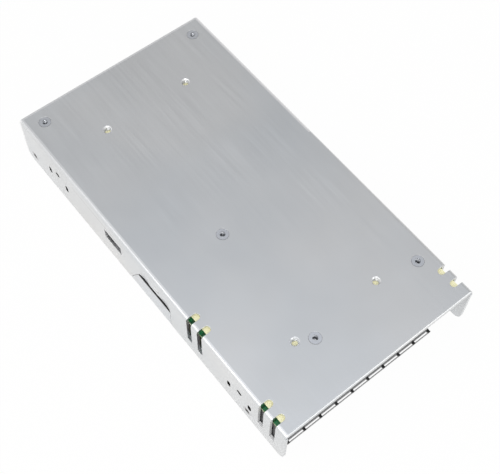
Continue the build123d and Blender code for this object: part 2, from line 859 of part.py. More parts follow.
def heat_bars():
    pieces = []
    outer = wall_inside - pad
    step = flange_low - selector_gap
    upper = bar_face + bar_upper_depth
    for side, span in bars():
        outline = make_face(Polyline(
            (outer, bar_low), (outer, step), (upper, step), (upper, bar_top), (bar_face, bar_top),
            (bar_face, bar_low), close=True))
        bar = extrude(Plane.XZ.offset(-span[0]) * outline, amount=span[0] - span[1])
        if side < 0:
            bar = mirror(bar, Plane.YZ)
        holes = bar_relief(side, span, bar_depth + pad)
        for site_side, y, _, _ in device_sites():
            if site_side == side:
                holes.append(side_rod(side, side * bar_face, y, device_screw_z, bar_upper_depth,
                                      screw_shank + 2 * thread_gap))
        pieces.append(bar - holes)
    return pieces


def wall_pads():
    pieces = []
    for side, span in bars():
        piece = side_block(side, wall_inside - pad, wall_inside, span[0], span[1],
                           bar_low, flange_low - selector_gap)
        pieces.append(piece - bar_relief(side, span, pad) if bar_relief(side, span, pad) else piece)
    return pieces


def device_pads():
    pieces = []
    for side, y, wide, _ in device_sites():
        piece = side_block(side, device_face, bar_face, y - wide / 2, y + wide / 2,
                           device_low, device_low + device_tab_height)
        pieces.append(piece - side_rod(side, side * device_face, y, device_screw_z, device_pad,
                                       screw_shank + 2 * thread_gap))
    return pieces


def device(side, y):
    half = device_width / 2
    body = block(0, device_depth, -half, half, 0, device_body_height)
    body = chamfer(body.edges().group_by(Axis.X)[-1], device_depth * 0.12)
    body += block(0, device_tab, -half, half, device_body_height, device_tab_height)
    body -= side_rod(1, 0, 0, device_screw_height, device_tab, screw_shank + 2 * thread_gap)
    for i in (-1, 0, 1):
        body += rod(device_depth / 2, i * lead_pitch, board_top - device_low, 0, device_lead)
    turn = Rot(0, 0, 180 if side > 0 else 0)
    return Pos(side * device_face, y, device_low) * turn * body


def power_transistors():
    return [device(1, y) for y in transistor_ys]


def output_rectifiers():
    return [device(-1, y) for y in rectifier_ys]


def bridge_rectifier():
    front = device_face - bridge_depth
    half = bridge_width / 2
    body = block(front, device_face, bridge_y - half, bridge_y + half,
                 device_low, device_low + bridge_height)
    corner = body.edges().filter_by(Axis.X).group_by(Axis.Z)[-1].sort_by(Axis.Y)[-1]
    body = chamfer(corner, bridge_depth)
    body -= side_rod(1, front, bridge_y, device_screw_z, bridge_depth, screw_shank + 2 * thread_gap)
    for i in range(4):
        y = bridge_y + (i - 1.5) * 2 * lead_pitch
        body += rod(front + bridge_depth / 2, y, board_top, device_low, device_lead)
    return body


def device_screws():
    screws = []
    for side, y, _, stand in device_sites():
        screw = pan_screw(stand + device_pad + bar_upper_depth - thread_gap)
        place = Pos(side * (device_face - stand), y, device_screw_z)
        screws.append(place * Rot(0, -side * 90, 0) * screw)
    return screws


def wound_part(place, core_size, leg, yoke, rise):
    long, wide, thick = core_size
    tube_y = leg / 2 + bobbin_gap + bobbin_wall
    tube_z = thick / 2 + bobbin_gap + bobbin_wall
    room_y = (wide - leg) / 2
    outer_y = room_y - bobbin_gap
    outer_z = tube_z + rise
    half = long / 2 - yoke - bobbin_gap
    centre = board_top + outer_z
    at = Pos(place[0], place[1], centre)

    core = Rectangle(long, wide)
    for side in (-1, 1):
        core -= Pos(0, side * (leg / 2 + room_y) / 2) * Rectangle(long - 2 * yoke, room_y - leg / 2)
    core = extrude(core, amount=thick / 2, both=True)

    bobbin = Box(2 * half, 2 * tube_y, 2 * tube_z)
    for side in (-1, 1):
        flange_x = side * (half - bobbin_wall / 2)
        bobbin += Pos(flange_x, 0, 0) * Box(bobbin_wall, 2 * outer_y, 2 * outer_z)
    bobbin -= Box(long, 2 * (tube_y - bobbin_wall), 2 * (tube_z - bobbin_wall))

    winding = Box(2 * (half - bobbin_wall), 2 * (outer_y - winding_inset), 2 * (outer_z - winding_inset))
    winding = fillet(winding.edges().filter_by(Axis.X), rise / 3)
    winding -= Box(long, 2 * tube_y, 2 * tube_z)
    return at * core, at * bobbin, at * winding


def line_choke_level():
    return board_top + line_choke_foot + line_choke_core[2] / 2


def line_choke_core_ring():
    long, wide, thick = line_choke_core
    leg = line_choke_leg
    ring = Rectangle(long, wide) - Rectangle(long - 2 * leg, wide - 2 * leg)
    return Pos(*line_choke_place, line_choke_level()) * extrude(ring, amount=thick / 2, both=True)


def line_choke_windings():
    long, wide, thick = line_choke_core
    rise = line_choke_winding + bobbin_gap
    coil = Box(line_choke_leg + 2 * rise, wide - 2 * line_choke_leg - 2 * bobbin_gap, thick + 2 * rise)
    coil = fillet(coil.edges().filter_by(Axis.Y), rise)
    coil -= Box(line_choke_leg + 2 * bobbin_gap, wide, thick + 2 * bobbin_gap)
    at = Pos(*line_choke_place, line_choke_level())
    return [at * Pos(side * (long - line_choke_leg) / 2, 0, 0) * coil for side in (-1, 1)]


def line_choke_feet():
    long, wide, _ = line_choke_core
    leg = line_choke_leg
    x, y = line_choke_place
    half_x = (long - leg) / 2
    half_y = (wide - leg) / 2
    return [on_board((x + sx * half_x, y + sy * half_y), (leg, leg, line_choke_foot))
            for sx in (-1, 1) for sy in (-1, 1)]


def output_choke():
    z = board_top + output_choke_winding + output_choke_height / 2
    at = Pos(*output_choke_place, z)
    core = Cylinder(output_choke_outer, output_choke_height)
    core -= Cylinder(output_choke_inner, output_choke_height)
    tall = output_choke_height + 2 * output_choke_winding
    coil = Cylinder(output_choke_outer + output_choke_winding, tall, arc_size=output_choke_arc)
    coil -= Cylinder(output_choke_inner - output_choke_winding, tall)
    room = Cylinder(output_choke_outer + bobbin_gap, output_choke_height + 2 * bobbin_gap)
    coil -= room - Cylinder(output_choke_inner - bobbin_gap, output_choke_height + 2 * bobbin_gap)
    return at * core, at * coil


def fuse_level():
    return board_top + fuse_cap / 2 + lying_lift


def fuse_tube():
    length = fuse_length - 2 * fuse_cap_wall - 2 * bobbin_gap
    return Pos(*fuse_place, fuse_level()) * Rot(90, 0, 0) * Cylinder(fuse_glass / 2, length)


def fuse_caps():
    cap = Cylinder(fuse_cap / 2, fuse_cap_length)
    cap -= Pos(0, 0, fuse_cap_wall) * Cylinder(fuse_cap / 2 - fuse_cap_wall, fuse_cap_length)
    reach = (fuse_length - fuse_cap_length) / 2
    return [Pos(fuse_place[0], fuse_place[1] + side * reach, fuse_level()) * Rot(side * 90, 0, 0) * cap
            for side in (-1, 1)]


def disc_part(place, diameter, depth):
    x, y = place
    z = board_top + disc_lift + diameter / 2
    disc = Pos(x, y, z) * Rot(90, 0, 0) * Cylinder(diameter / 2, depth)
    disc = fillet(disc.edges().filter_by(GeomType.CIRCLE), depth * 0.4)
    for side in (-1, 1):
        disc += rod(x + side * disc_lead_pitch / 2, y, board_top, z, disc_lead)
    return disc


def box_part(place, size):
    body = on_board(place, size)
    return fillet(body.edges().group_by(Axis.Z)[-1], line_capacitor_edge)


def can(diameter, length):
    radius = diameter / 2
    rim = diameter * can_rim
    outline = Polyline(
        (0, 0), (radius, 0), (radius, rim * 2), (radius - rim / 2, rim * 3), (radius, rim * 4),
        (radius, length - rim / 2), (radius - rim / 2, length), (0, length), close=True)
    return revolve(Plane.XZ * make_face(outline), Axis.Z)


def bulk_capacitors():
    cans = []
    z = board_top + bulk_diameter / 2 + lying_lift
    for y in bulk_ys:
        front = y - bulk_length / 2
        body = Pos(bulk_x, front, z) * Rot(-90, 0, 0) * can(bulk_diameter, bulk_length)
        for side in (-1, 1):
            x = bulk_x + side * bulk_lead_pitch / 2
            body += rod(x, front - bulk_lead_reach, board_top, z, bulk_lead)
            body += Pos(x, front - bulk_lead_reach / 2, z) * Rot(90, 0, 0) * Cylinder(
                bulk_lead / 2, bulk_lead_reach)
            body += Pos(x, front - bulk_lead_reach, z) * Sphere(bulk_lead / 2)
        cans.append(body)
    return cans


def standing_cans(places, diameter, height):
    return [Pos(x, y, board_top) * can(diameter, height) for x, y in places]


def chip(place, size, pins):
    x, y = place
    body = on_board(place, size, chip_lift)
    body = chamfer(body.edges().group_by(Axis.Z)[-1], size[2] * 0.12)
    for i in range(pins):
        pin_x = x + (i - (pins - 1) / 2) * lead_pitch
        for side in (-1, 1):
            pin_y = y + side * (size[1] + chip_pin) / 2
            body += block(pin_x - chip_pin, pin_x + chip_pin, pin_y - chip_pin / 2, pin_y + chip_pin / 2,
                          board_top, board_top + chip_lift + size[2] / 2)
    return body


def resistor(place):
    z = board_top + resistor_diameter / 2 + lying_lift
    body = Rot(90, 0, 0) * Cylinder(resistor_diameter / 2, resistor_length)
    body = fillet(body.edges().filter_by(GeomType.CIRCLE), resistor_diameter * 0.2)
    reach = resistor_length / 2 + resistor_lead
    body += Rot(90, 0, 0) * Cylinder(resistor_lead / 2, 2 * reach)
    for side in (-1, 1):
        body += rod(0, side * reach, board_top - z, 0, resistor_lead)
        body += Pos(0, side * reach, 0) * Sphere(resistor_lead / 2)
    return Pos(*place, z) * body


def fan_socket():
    long, wide, tall = socket_size
    x, y = socket_place
    body = on_board(socket_place, socket_size)
    body -= on_board(socket_place, (long - 2 * socket_wall, wide - 2 * socket_wall, tall), socket_wall)
    for side in (-1, 1):
        pin_x = x + side * lead_pitch / 2
        body += block(pin_x - chip_pin / 2, pin_x + chip_pin / 2, y - chip_pin / 2, y + chip_pin / 2,
                      board_top, board_top + tall * 0.8)
    return body


def turn_over(piece):
    return Pos(0, 0, case_height) * Rot(0, 180, 0) * piece


def all_nodes():
    main = wound_part(main_place, main_core, main_leg, main_yoke, main_winding_rise)
    driver = wound_part(driver_place, driver_core, driver_leg, driver_yoke, driver_winding_rise)
    output_core, output_coil = output_choke()
    return {
        "chassis": [chassis()],
        "cover": [cover()],
        "cover_screws": cover_screws(),
        "insulation_sheet": [insulation_sheet()],
        "circuit_board": [circuit_board()],
        "board_standoffs": standoff_set(),
        "board_screws": board_screws(),
        "terminal_block": [terminal_block()],
        "terminal_contacts": terminal_contacts(),
        "terminal_clamps": terminal_clamps(),
        "terminal_screws": terminal_screws(),
        "trim_pot_body": [trim_pot_body()],
        "trim_pot_rotor": [trim_pot_rotor()],
        "status_lamp": [status_lamp()],
        "selector_body": [selector_body()],
        "selector_slider": [selector_slider()],
        "fan_frame": [fan_frame()],
        "fan_stator": [fan_stator()],
        "fan_rotor": [fan_rotor()],
        "fan_screws": fan_screws(),
        "fan_socket": [fan_socket()],
        "heat_bars": heat_bars(),
        "wall_pads": wall_pads(),
        "device_pads": device_pads(),
        "device_screws": device_screws(),
        "power_transistors": power_transistors(),
        "output_rectifiers": output_rectifiers(),
        "bridge_rectifier": [bridge_rectifier()],
        "main_transformer_core": [main[0]],
        "main_transformer_bobbin": [main[1]],
        "main_transformer_winding": [main[2]],
        "driver_transformer_core": [driver[0]],
        "driver_transformer_bobbin": [driver[1]],
        "driver_transformer_winding": [driver[2]],
        "line_choke_core": [line_choke_core_ring()],
        "line_choke_windings": line_choke_windings(),
        "line_choke_feet": line_choke_feet(),
        "output_choke_core": [output_core],
        "output_choke_winding": [output_coil],
        "fuse_tube": [fuse_tube()],
        "fuse_caps": fuse_caps(),
        "thermistor": [disc_part(thermistor_place, thermistor_diameter, thermistor_depth)],
        "line_capacitors": [box_part(place, size) for place, size in line_capacitors],
        "safety_capacitors": [disc_part(place, safety_capacitor_diameter, safety_capacitor_depth)
                              for place in safety_capacitor_places],
        "bulk_capacitors": bulk_capacitors(),
        "output_capacitors": standing_cans(output_capacitor_places, output_capacitor_diameter,
                                           output_capacitor_height),
        "small_capacitors": standing_cans(small_capacitor_places, small_capacitor_diameter,
                                          small_capacitor_height),
        "control_chip": [chip(control_chip_place, control_chip_size, control_chip_pins)],
        "optocouplers": [chip(place, opto_size, opto_pins) for place in opto_places],
        "load_resistors": [resistor(place) for place in resistor_places],
    }


os.makedirs("parts", exist_ok=True)
for name, pieces in all_nodes().items():
    turned = [turn_over(piece) for piece in pieces]
    export_step(turned[0] if len(turned) == 1 else Compound(children=turned), f"parts/{name}.step")
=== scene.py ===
import math

import bmesh
import bpy
from mathutils import Matrix, Vector


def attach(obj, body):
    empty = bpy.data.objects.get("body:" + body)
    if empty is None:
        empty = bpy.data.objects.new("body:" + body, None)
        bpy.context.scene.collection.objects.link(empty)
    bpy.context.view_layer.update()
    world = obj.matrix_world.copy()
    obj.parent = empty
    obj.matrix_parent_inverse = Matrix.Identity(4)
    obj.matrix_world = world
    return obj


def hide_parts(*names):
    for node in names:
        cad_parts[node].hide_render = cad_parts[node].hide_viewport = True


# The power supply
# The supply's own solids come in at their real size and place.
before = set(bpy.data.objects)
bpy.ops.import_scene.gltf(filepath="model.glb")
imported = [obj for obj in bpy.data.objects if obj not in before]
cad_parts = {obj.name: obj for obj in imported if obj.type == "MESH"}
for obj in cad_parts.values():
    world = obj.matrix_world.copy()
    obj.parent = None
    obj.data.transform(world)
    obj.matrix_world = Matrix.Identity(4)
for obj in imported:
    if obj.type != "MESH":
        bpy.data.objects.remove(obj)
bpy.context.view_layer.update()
mm = 0.001


# View
# The camera stands over the front left corner and looks down on the base plate, with a 70 mm lens
# on a 36 mm sensor, as the supply was seen.
camera_place = Vector((-155.60, -194.45, 439.73)) * mm
camera_right = Vector((0.7803176, -0.6251695, 0.0163542))
camera_up = Vector((0.5393637, 0.6859927, 0.4883655))
camera_back = Vector((-0.3165300, -0.3722593, 0.8724859))
camera_data = bpy.data.cameras.new("camera")
camera_data.lens = 70.0
camera_data.sensor_width = 36.0
camera_data.clip_start = 0.02
camera_data.clip_end = 20.0
camera = bpy.data.objects.new("camera", camera_data)
camera.matrix_world = (Matrix.Translation(camera_place)
                       @ Matrix((camera_right, camera_up, camera_back)).transposed().to_4x4())
bpy.context.scene.collection.objects.link(camera)
bpy.context.scene.camera = camera
bpy.context.scene.view_settings.view_transform = "Standard"


# Studio
# The supply lies on a white table that runs off into a white room. The room turns grey high up,
# white again overhead, and dimmer low down on the side away from the lamps. The metal shows all
# of it, and the table keeps a faint shadow under the supply.
def feed(links, socket, value):
    if isinstance(value, bpy.types.NodeSocket):
        links.new(value, socket)
    else:
        socket.default_value = value


def math_step(nodes, links, operation, *values):
    step = nodes.new("ShaderNodeMath")
    step.operation = operation
    for socket, value in zip(step.inputs, values):
        feed(links, socket, value)
    return step.outputs[0]


def any_of(nodes, links, masks):
    joined = masks[0]
    for mask in masks[1:]:
        joined = math_step(nodes, links, "MAXIMUM", joined, mask)
    return joined


def spread_value(nodes, links, source, low, high, out_low, out_high):
    spread = nodes.new("ShaderNodeMapRange")
    for label, value in (("Value", source), ("From Min", low), ("From Max", high), ("To Min", out_low),
                         ("To Max", out_high)):
        feed(links, spread.inputs[label], value)
    return spread.outputs[0]


def mixed(nodes, links, share, first, second, blend_type="MIX"):
    mix = nodes.new("ShaderNodeMix")
    mix.data_type = "RGBA"
    mix.blend_type = blend_type
    first_socket, second_socket = [socket for socket in mix.inputs if socket.type == "RGBA"]
    feed(links, mix.inputs[0], share)
    feed(links, first_socket, first)
    feed(links, second_socket, second)
    return [socket for socket in mix.outputs if socket.type == "RGBA"][0]


table_radius = 4.0
table_gap = 0.2 * mm
table_mesh = bmesh.new()
bmesh.ops.create_circle(table_mesh, cap_ends=True, radius=table_radius, segments=64)
bmesh.ops.translate(table_mesh, verts=table_mesh.verts, vec=(0, 0, -table_gap))
table_data = bpy.data.meshes.new("table")
table_mesh.to_mesh(table_data)
table_mesh.free()
table = bpy.data.objects.new("table", table_data)
bpy.context.scene.collection.objects.link(table)

table_white = bpy.data.materials.new("table_white")
table_white.use_nodes = True
nodes = table_white.node_tree.nodes
links = table_white.node_tree.links
nodes.clear()
surface = nodes.new("ShaderNodeOutputMaterial")
shaded = nodes.new("ShaderNodeBsdfDiffuse")
shaded.inputs["Color"].default_value = (0.86, 0.84, 0.815, 1)
plain = nodes.new("ShaderNodeEmission")
blend = nodes.new("ShaderNodeMixShader")
rays = nodes.new("ShaderNodeLightPath")
plain_shares = []
for ray_kind, amount in (("Is Camera Ray", 0.97), ("Is Glossy Ray", 0.50), ("Is Transmission Ray", 0.50)):
    plain_shares.append(math_step(nodes, links, "MULTIPLY", rays.outputs[ray_kind], amount))
links.new(any_of(nodes, links, plain_shares), blend.inputs["Fac"])
links.new(shaded.outputs[0], blend.inputs[1])
links.new(plain.outputs[0], blend.inputs[2])
links.new(blend.outputs[0], surface.inputs["Surface"])
table_data.materials.append(table_white)

room_tones = ((0.0, 1.0), (0.30, 1.0), (0.5, 0.74), (0.68, 0.60), (0.80, 0.43), (0.86, 0.54), (0.91, 0.82),
              (1.0, 1.06))
cool_from = 0.76
cool_run = 0.14
cool_tint = (-0.030, -0.006, 0.035)
bright_towards = (-0.9, -0.45, 0.0)
most_dimmed = 0.34
room = bpy.data.worlds.new("room")
bpy.context.scene.world = room
room.use_nodes = True
nodes = room.node_tree.nodes
links = room.node_tree.links
nodes.clear()
sky = nodes.new("ShaderNodeOutputWorld")
glow = nodes.new("ShaderNodeBackground")
direction = nodes.new("ShaderNodeTexCoord")
split = nodes.new("ShaderNodeSeparateXYZ")
links.new(direction.outputs["Generated"], split.inputs[0])
height = nodes.new("ShaderNodeValToRGB")
links.new(split.outputs["Z"], height.inputs[0])
while len(height.color_ramp.elements) < len(room_tones):
    height.color_ramp.elements.new(1.0)
for stop, (place, tone) in zip(height.color_ramp.elements, room_tones):
    cool = min(1.0, max(0.0, place - cool_from) / cool_run)
    stop.position = place
    stop.color = (*(tone * (1 + shift * cool) for shift in cool_tint), 1)
towards_bright = nodes.new("ShaderNodeVectorMath")
towards_bright.operation = "DOT_PRODUCT"
towards_bright.inputs[1].default_value = bright_towards
links.new(direction.outputs["Generated"], towards_bright.inputs[0])
dim_side = spread_value(nodes, links, towards_bright.outputs["Value"], -0.65, 0.15, most_dimmed, 0.0)
near_floor = spread_value(nodes, links, split.outputs["Z"], 0.35, 0.65, 1.0, 0.0)
dim = math_step(nodes, links, "MULTIPLY", dim_side, near_floor)
room_light = nodes.new("ShaderNodeVectorMath")
room_light.operation = "SCALE"
links.new(height.outputs[0], room_light.inputs[0])
links.new(math_step(nodes, links, "SUBTRACT", 1.0, dim), room_light.inputs["Scale"])
rays = nodes.new("ShaderNodeLightPath")
backdrop = mixed(nodes, links, rays.outputs["Is Camera Ray"], room_light.outputs[0], (1, 1, 1, 1))
links.new(backdrop, glow.inputs["Color"])
links.new(glow.outputs[0], sky.inputs["Surface"])

for name, place, power, size in (("key_lamp", (-0.55, -0.70, 1.05), 6.0, 0.7),
                                 ("side_lamp", (-0.94, 0.18, 0.88), 2.0, 0.6),
                                 ("front_lamp", (0.36, -1.05, 0.40), 1.3, 0.6)):
    lamp_data = bpy.data.lights.new(name, "AREA")
    lamp_data.energy = power
    lamp_data.size = size
    lamp = bpy.data.objects.new(name, lamp_data)
    lamp.location = place
    lamp.rotation_euler = (-Vector(place)).to_track_quat("-Z", "Y").to_euler()
    bpy.context.scene.collection.objects.link(lamp)


# Base plate and side walls
# One piece of 1.5 mm aluminium sheet with the mill's finish: marks along the rolling direction and a
# slow drift of tone. Painted highlights lighten its edges, its folds and its rear edge. The left wall
# has a thin line of painted shade and a small mark in painted shade and highlight, and its holes
# are painted dark with shade so that they look deep.
def start_group(name, inputs, outputs):
    group = bpy.data.node_groups.new(name, "ShaderNodeTree")
    for label, kind, value in inputs:
        socket = group.interface.new_socket(label, in_out="INPUT", socket_type=kind)
        socket.default_value = value
    for label, kind in outputs:
        group.interface.new_socket(label, in_out="OUTPUT", socket_type=kind)
    return group, group.nodes.new("NodeGroupInput"), group.nodes.new("NodeGroupOutput")


def scaled_noise(nodes, links, size, detail):
    place = nodes.new("ShaderNodeTexCoord")
    noise = nodes.new("ShaderNodeTexNoise")
    noise.inputs["Detail"].default_value = detail
    links.new(place.outputs["Object"], noise.inputs["Vector"])
    links.new(math_step(nodes, links, "DIVIDE", 1.0, size), noise.inputs["Scale"])
    return noise.outputs[0]


float_socket = "NodeSocketFloat"
colour_socket = "NodeSocketColor"
vector_socket = "NodeSocketVector"
noise_low = 0.3
noise_high = 0.7

grain_group, given, result = start_group(
    "fine_grain",
    (("Size", float_socket, 0.4 * mm), ("Depth", float_socket, 0.01 * mm)),
    (("Mask", float_socket), ("Normal", vector_socket)))
nodes = grain_group.nodes
links = grain_group.links
noise = scaled_noise(nodes, links, given.outputs["Size"], 3.0)
relief = nodes.new("ShaderNodeBump")
links.new(noise, relief.inputs["Height"])
links.new(given.outputs["Depth"], relief.inputs["Distance"])
links.new(noise, result.inputs["Mask"])
links.new(relief.outputs[0], result.inputs["Normal"])

drift_group, given, result = start_group(
    "colour_drift",
    (("Colour", colour_socket, (0.5, 0.5, 0.5, 1)), ("Amount", float_socket, 0.05),
     ("Size", float_socket, 20 * mm)),
    (("Colour", colour_socket), ("Mask", float_socket)))
nodes = drift_group.nodes
links = drift_group.links
noise = scaled_noise(nodes, links, given.outputs["Size"], 2.0)
darkest = math_step(nodes, links, "SUBTRACT", 1.0, given.outputs["Amount"])
lightest = math_step(nodes, links, "ADD", 1.0, given.outputs["Amount"])
tone = nodes.new("ShaderNodeHueSaturation")
links.new(given.outputs["Colour"], tone.inputs["Color"])
links.new(spread_value(nodes, links, noise, noise_low, noise_high, darkest, lightest), tone.inputs["Value"])
links.new(tone.outputs[0], result.inputs["Colour"])
links.new(noise, result.inputs["Mask"])


def new_finish(name):
    finish = bpy.data.materials.new(name)
    finish.use_nodes = True
    nodes = finish.node_tree.nodes
    return finish, nodes, finish.node_tree.links, nodes["Principled BSDF"]


def place_group(nodes, group, **values):
    placed = nodes.new("ShaderNodeGroup")
    placed.node_tree = group
    for label, value in values.items():
        placed.inputs[label].default_value = value
    return placed


def around(axis, middle, half):
    return axis, middle - half, middle + half


def inside_box(finish, *ranges):
    nodes = finish.node_tree.nodes
    links = finish.node_tree.links
    place = nodes.new("ShaderNodeTexCoord")
    split = nodes.new("ShaderNodeSeparateXYZ")
    links.new(place.outputs["Object"], split.inputs[0])
    mask = None
    for axis, low, high in ranges:
        middle = (low + high) / 2 * mm
        half = (high - low) / 2 * mm
        inside = math_step(nodes, links, "COMPARE", split.outputs[axis], middle, half)
        mask = math_step(nodes, links, "MULTIPLY", mask, inside) if mask else inside
    return mask


def inside_any(finish, boxes):
    masks = [inside_box(finish, *box) for box in boxes]
    return any_of(finish.node_tree.nodes, finish.node_tree.links, masks)


def tone_over(finish, mask, colour):
    nodes = finish.node_tree.nodes
    links = finish.node_tree.links
    base = nodes["Principled BSDF"].inputs["Base Color"]
    links.new(mixed(nodes, links, mask, base.links[0].from_socket, (*colour, 1)), base)


def rolled_sheet(name, colour, roughness):
    finish, nodes, links, metal = new_finish(name)
    drift = place_group(nodes, drift_group, Colour=(*colour, 1), Amount=0.035, Size=42 * mm)
    place = nodes.new("ShaderNodeTexCoord")
    along_roll = nodes.new("ShaderNodeMapping")
    along_roll.inputs["Scale"].default_value = (1.0, 0.03, 1.0)
    links.new(place.outputs["Object"], along_roll.inputs["Vector"])
    marks = nodes.new("ShaderNodeTexNoise")
    marks.inputs["Scale"].default_value = 900.0
    marks.inputs["Detail"].default_value = 4.0
    links.new(along_roll.outputs[0], marks.inputs["Vector"])
    tint_noise = nodes.new("ShaderNodeTexNoise")
    tint_noise.inputs["Scale"].default_value = 14.0
    links.new(place.outputs["Object"], tint_noise.inputs["Vector"])
    hues = nodes.new("ShaderNodeValToRGB")
    cool_stop, warm_stop = hues.color_ramp.elements
    cool_stop.position = 0.35
    cool_stop.color = (0.975, 0.995, 1.0, 1)
    warm_stop.position = 0.65
    warm_stop.color = (1.0, 1.0, 0.985, 1)
    links.new(tint_noise.outputs[0], hues.inputs[0])
    tinted = mixed(nodes, links, 1.0, drift.outputs["Colour"], hues.outputs[0], "MULTIPLY")
    links.new(tinted, metal.inputs["Base Color"])
    links.new(spread_value(nodes, links, marks.outputs[0], noise_low, noise_high, roughness - 0.05,
                           roughness + 0.05), metal.inputs["Roughness"])

    # Painted highlight: the colour is lightened to a bright grey along the edges, where the rounded normal
    # turns away from the face.
    near_edge = nodes.new("ShaderNodeBevel")
    near_edge.inputs["Radius"].default_value = 0.28 * mm
    plain_surface = nodes.new("ShaderNodeNewGeometry")
    turned = nodes.new("ShaderNodeVectorMath")
    turned.operation = "DOT_PRODUCT"
    links.new(near_edge.outputs[0], turned.inputs[0])
    links.new(plain_surface.outputs["Normal"], turned.inputs[1])
    edge_highlight = spread_value(nodes, links, turned.outputs["Value"], 0.80, 0.97, 1.0, 0.0)
    links.new(spread_value(nodes, links, edge_highlight, 0.0, 1.0, 1.0, 0.45), metal.inputs["Metallic"])
    tone_over(finish, edge_highlight, (0.94, 0.94, 0.94))

    bump_height = 0.004 * mm
    rounded = nodes.new("ShaderNodeBevel")
    rounded.inputs["Radius"].default_value = 0.35 * mm
    grain = place_group(nodes, grain_group, Size=0.35 * mm, Depth=bump_height)
    below = rounded.outputs[0]
    for relief_source in (marks.outputs[0], grain.outputs["Mask"]):
        bump = nodes.new("ShaderNodeBump")
        bump.inputs["Distance"].default_value = bump_height
        links.new(relief_source, bump.inputs["Height"])
        links.new(below, bump.inputs["Normal"])
        below = bump.outputs[0]
    links.new(below, metal.inputs["Normal"])
    return finish


def dress(finish, *names):
    for name in names:
        for material_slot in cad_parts[name].material_slots:
            material_slot.material = finish


def add_piece(name, shape, finish, sharp_over=35.0):
    bmesh.ops.recalc_face_normals(shape, faces=shape.faces)
    mesh = bpy.data.meshes.new(name)
    shape.to_mesh(mesh)
    shape.free()
    mesh.shade_smooth()
    mesh.set_sharp_from_angle(angle=math.radians(sharp_over))
    mesh.materials.append(finish)
    piece = bpy.data.objects.new(name, mesh)
    bpy.context.scene.collection.objects.link(piece)
    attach(piece, "case")
    return piece


case_metal = rolled_sheet("case_metal", (0.745, 0.750, 0.765), 0.34)
dress(case_metal, "chassis")

# Painted shade and highlight: a thin dark line along the left wall, and a small mark with painted shade at
# its foot and side and a painted highlight on its face.
left_skin = ("X", -58.0, -57.3)
shade_line = (("Y", 16.0, 60.5), ("Z", 23.5, 23.85), 0.46)
mark_foot_shade = (("Y", -12.9, -9.6), ("Z", 21.0, 21.5), 0.35)
mark_side_shade = (("Y", -13.2, -12.6), ("Z", 21.0, 22.8), 0.35)
mark_face_highlight = (("Y", -12.6, -9.6), ("Z", 21.5, 22.6), 0.97)
for along, up, tone in (shade_line, mark_foot_shade, mark_side_shade, mark_face_highlight):
    tone_over(case_metal, inside_box(case_metal, left_skin, along, up), (tone, tone, tone))
# Painted highlight along the rear edge.
rear_edge_highlight = inside_box(case_metal, ("Y", 106.5, 107.6))
tone_over(case_metal, rear_edge_highlight, (0.93, 0.93, 0.935))

left_sheet = ("X", -57.6, -56.0)
front_slot_rears = (-97.0, -88.7)
slot_width = 3.6
slot_sides = [(left_sheet, ("Y", rear - 0.05, rear + 0.2), ("Z", 8.7, 30.1)) for rear in front_slot_rears]
slot_feet = [(left_sheet, ("Y", rear - slot_width, rear), ("Z", 8.6, 8.85)) for rear in front_slot_rears]
sheared = inside_any(case_metal, slot_sides + slot_feet)
tone_over(case_metal, sheared, (0.72, 0.72, 0.725))
nodes = case_metal.node_tree.nodes
links = case_metal.node_tree.links
metallic = nodes["Principled BSDF"].inputs["Metallic"]
metal_share = math_step(nodes, links, "SUBTRACT", 1.0, sheared)
links.new(math_step(nodes, links, "MULTIPLY", metallic.links[0].from_socket, metal_share), metallic)

# Painted highlights along the top of the left and right folds.
fold_top = ("Z", 29.4, 30.1)
left_fold_highlight = inside_box(case_metal, ("X", -56.65, -55.4), fold_top)
tone_over(case_metal, left_fold_highlight, (0.90, 0.905, 0.915))
right_fold_highlight = inside_box(case_metal, ("X", 55.4, 57.6), ("Y", 10.0, 107.6), fold_top)
tone_over(case_metal, right_fold_highlight, (0.94, 0.94, 0.95))

mount_ys = (-75.0, 75.0)
side_mount_z = 18.0
peg_slot_shift = 7.6
peg_slot_z = 14.0
side_bores = [(("X", -57.25, -54.9), around("Y", y, 2.3), around("Z", side_mount_z, 2.3)) for y in mount_ys]
peg_slots = [(("X", -57.45, -55.9), around("Y", y + shift, 1.3), around("Z", peg_slot_z, 2.6))
             for y in mount_ys for shift in (-peg_slot_shift, peg_slot_shift)]
# Painted shade: the bores of the side mounting holes and the peg slots are painted nearly black.
tone_over(case_metal, inside_any(case_metal, side_bores + peg_slots), (0.06, 0.06, 0.06))


# Threads of the mounting holes
# Each mounting hole is drawn out into a short collar and tapped, so a fine spiral ridge stands
# in its bore, bright on the flank that faces the light.
def thread_ridge(shape, centre, axis, bore, depth, pitch, length):
    centre = Vector(centre)
    axis = Vector(axis)
    across = axis.orthogonal().normalized()
    behind_bore = 0.03 * mm
    half_foot = 0.40 * pitch
    steps_per_turn = 20
    ridge = []
    for out, along in ((behind_bore, -half_foot), (behind_bore, half_foot), (-depth, 0.0)):
        ridge.append(shape.verts.new(centre + across * (bore / 2 + out) + axis * along))
    face = shape.faces.new(ridge)
    turns = length / pitch
    steps = int(turns * steps_per_turn)
    bmesh.ops.spin(shape, geom=[face] + list(face.edges) + ridge, cent=centre, axis=axis,
                   dvec=axis * length / steps, angle=2 * math.pi * turns, steps=steps, use_duplicate=False)


wall_out = 57.5 * mm
plate_top = 30.0 * mm
mount_half_x = 25.0 * mm
wall_thread_x = wall_out - 2.2 * mm
plate_thread_z = plate_top - 3.1 * mm
m4_thread = (3.5 * mm, 0.22 * mm, 0.7 * mm)
plate_thread_length = 2.3 * mm
wall_thread_length = 1.7 * mm
threads = bmesh.new()
for side in (-1, 1):
    for mount_y in mount_ys:
        thread_ridge(threads, (side * mount_half_x, mount_y * mm, plate_thread_z), (0, 0, 1),
                     *m4_thread, plate_thread_length)
        thread_ridge(threads, (side * wall_thread_x, mount_y * mm, side_mount_z * mm), (side, 0, 0),
                     *m4_thread, wall_thread_length)
add_piece("mounting_threads", threads, case_metal)
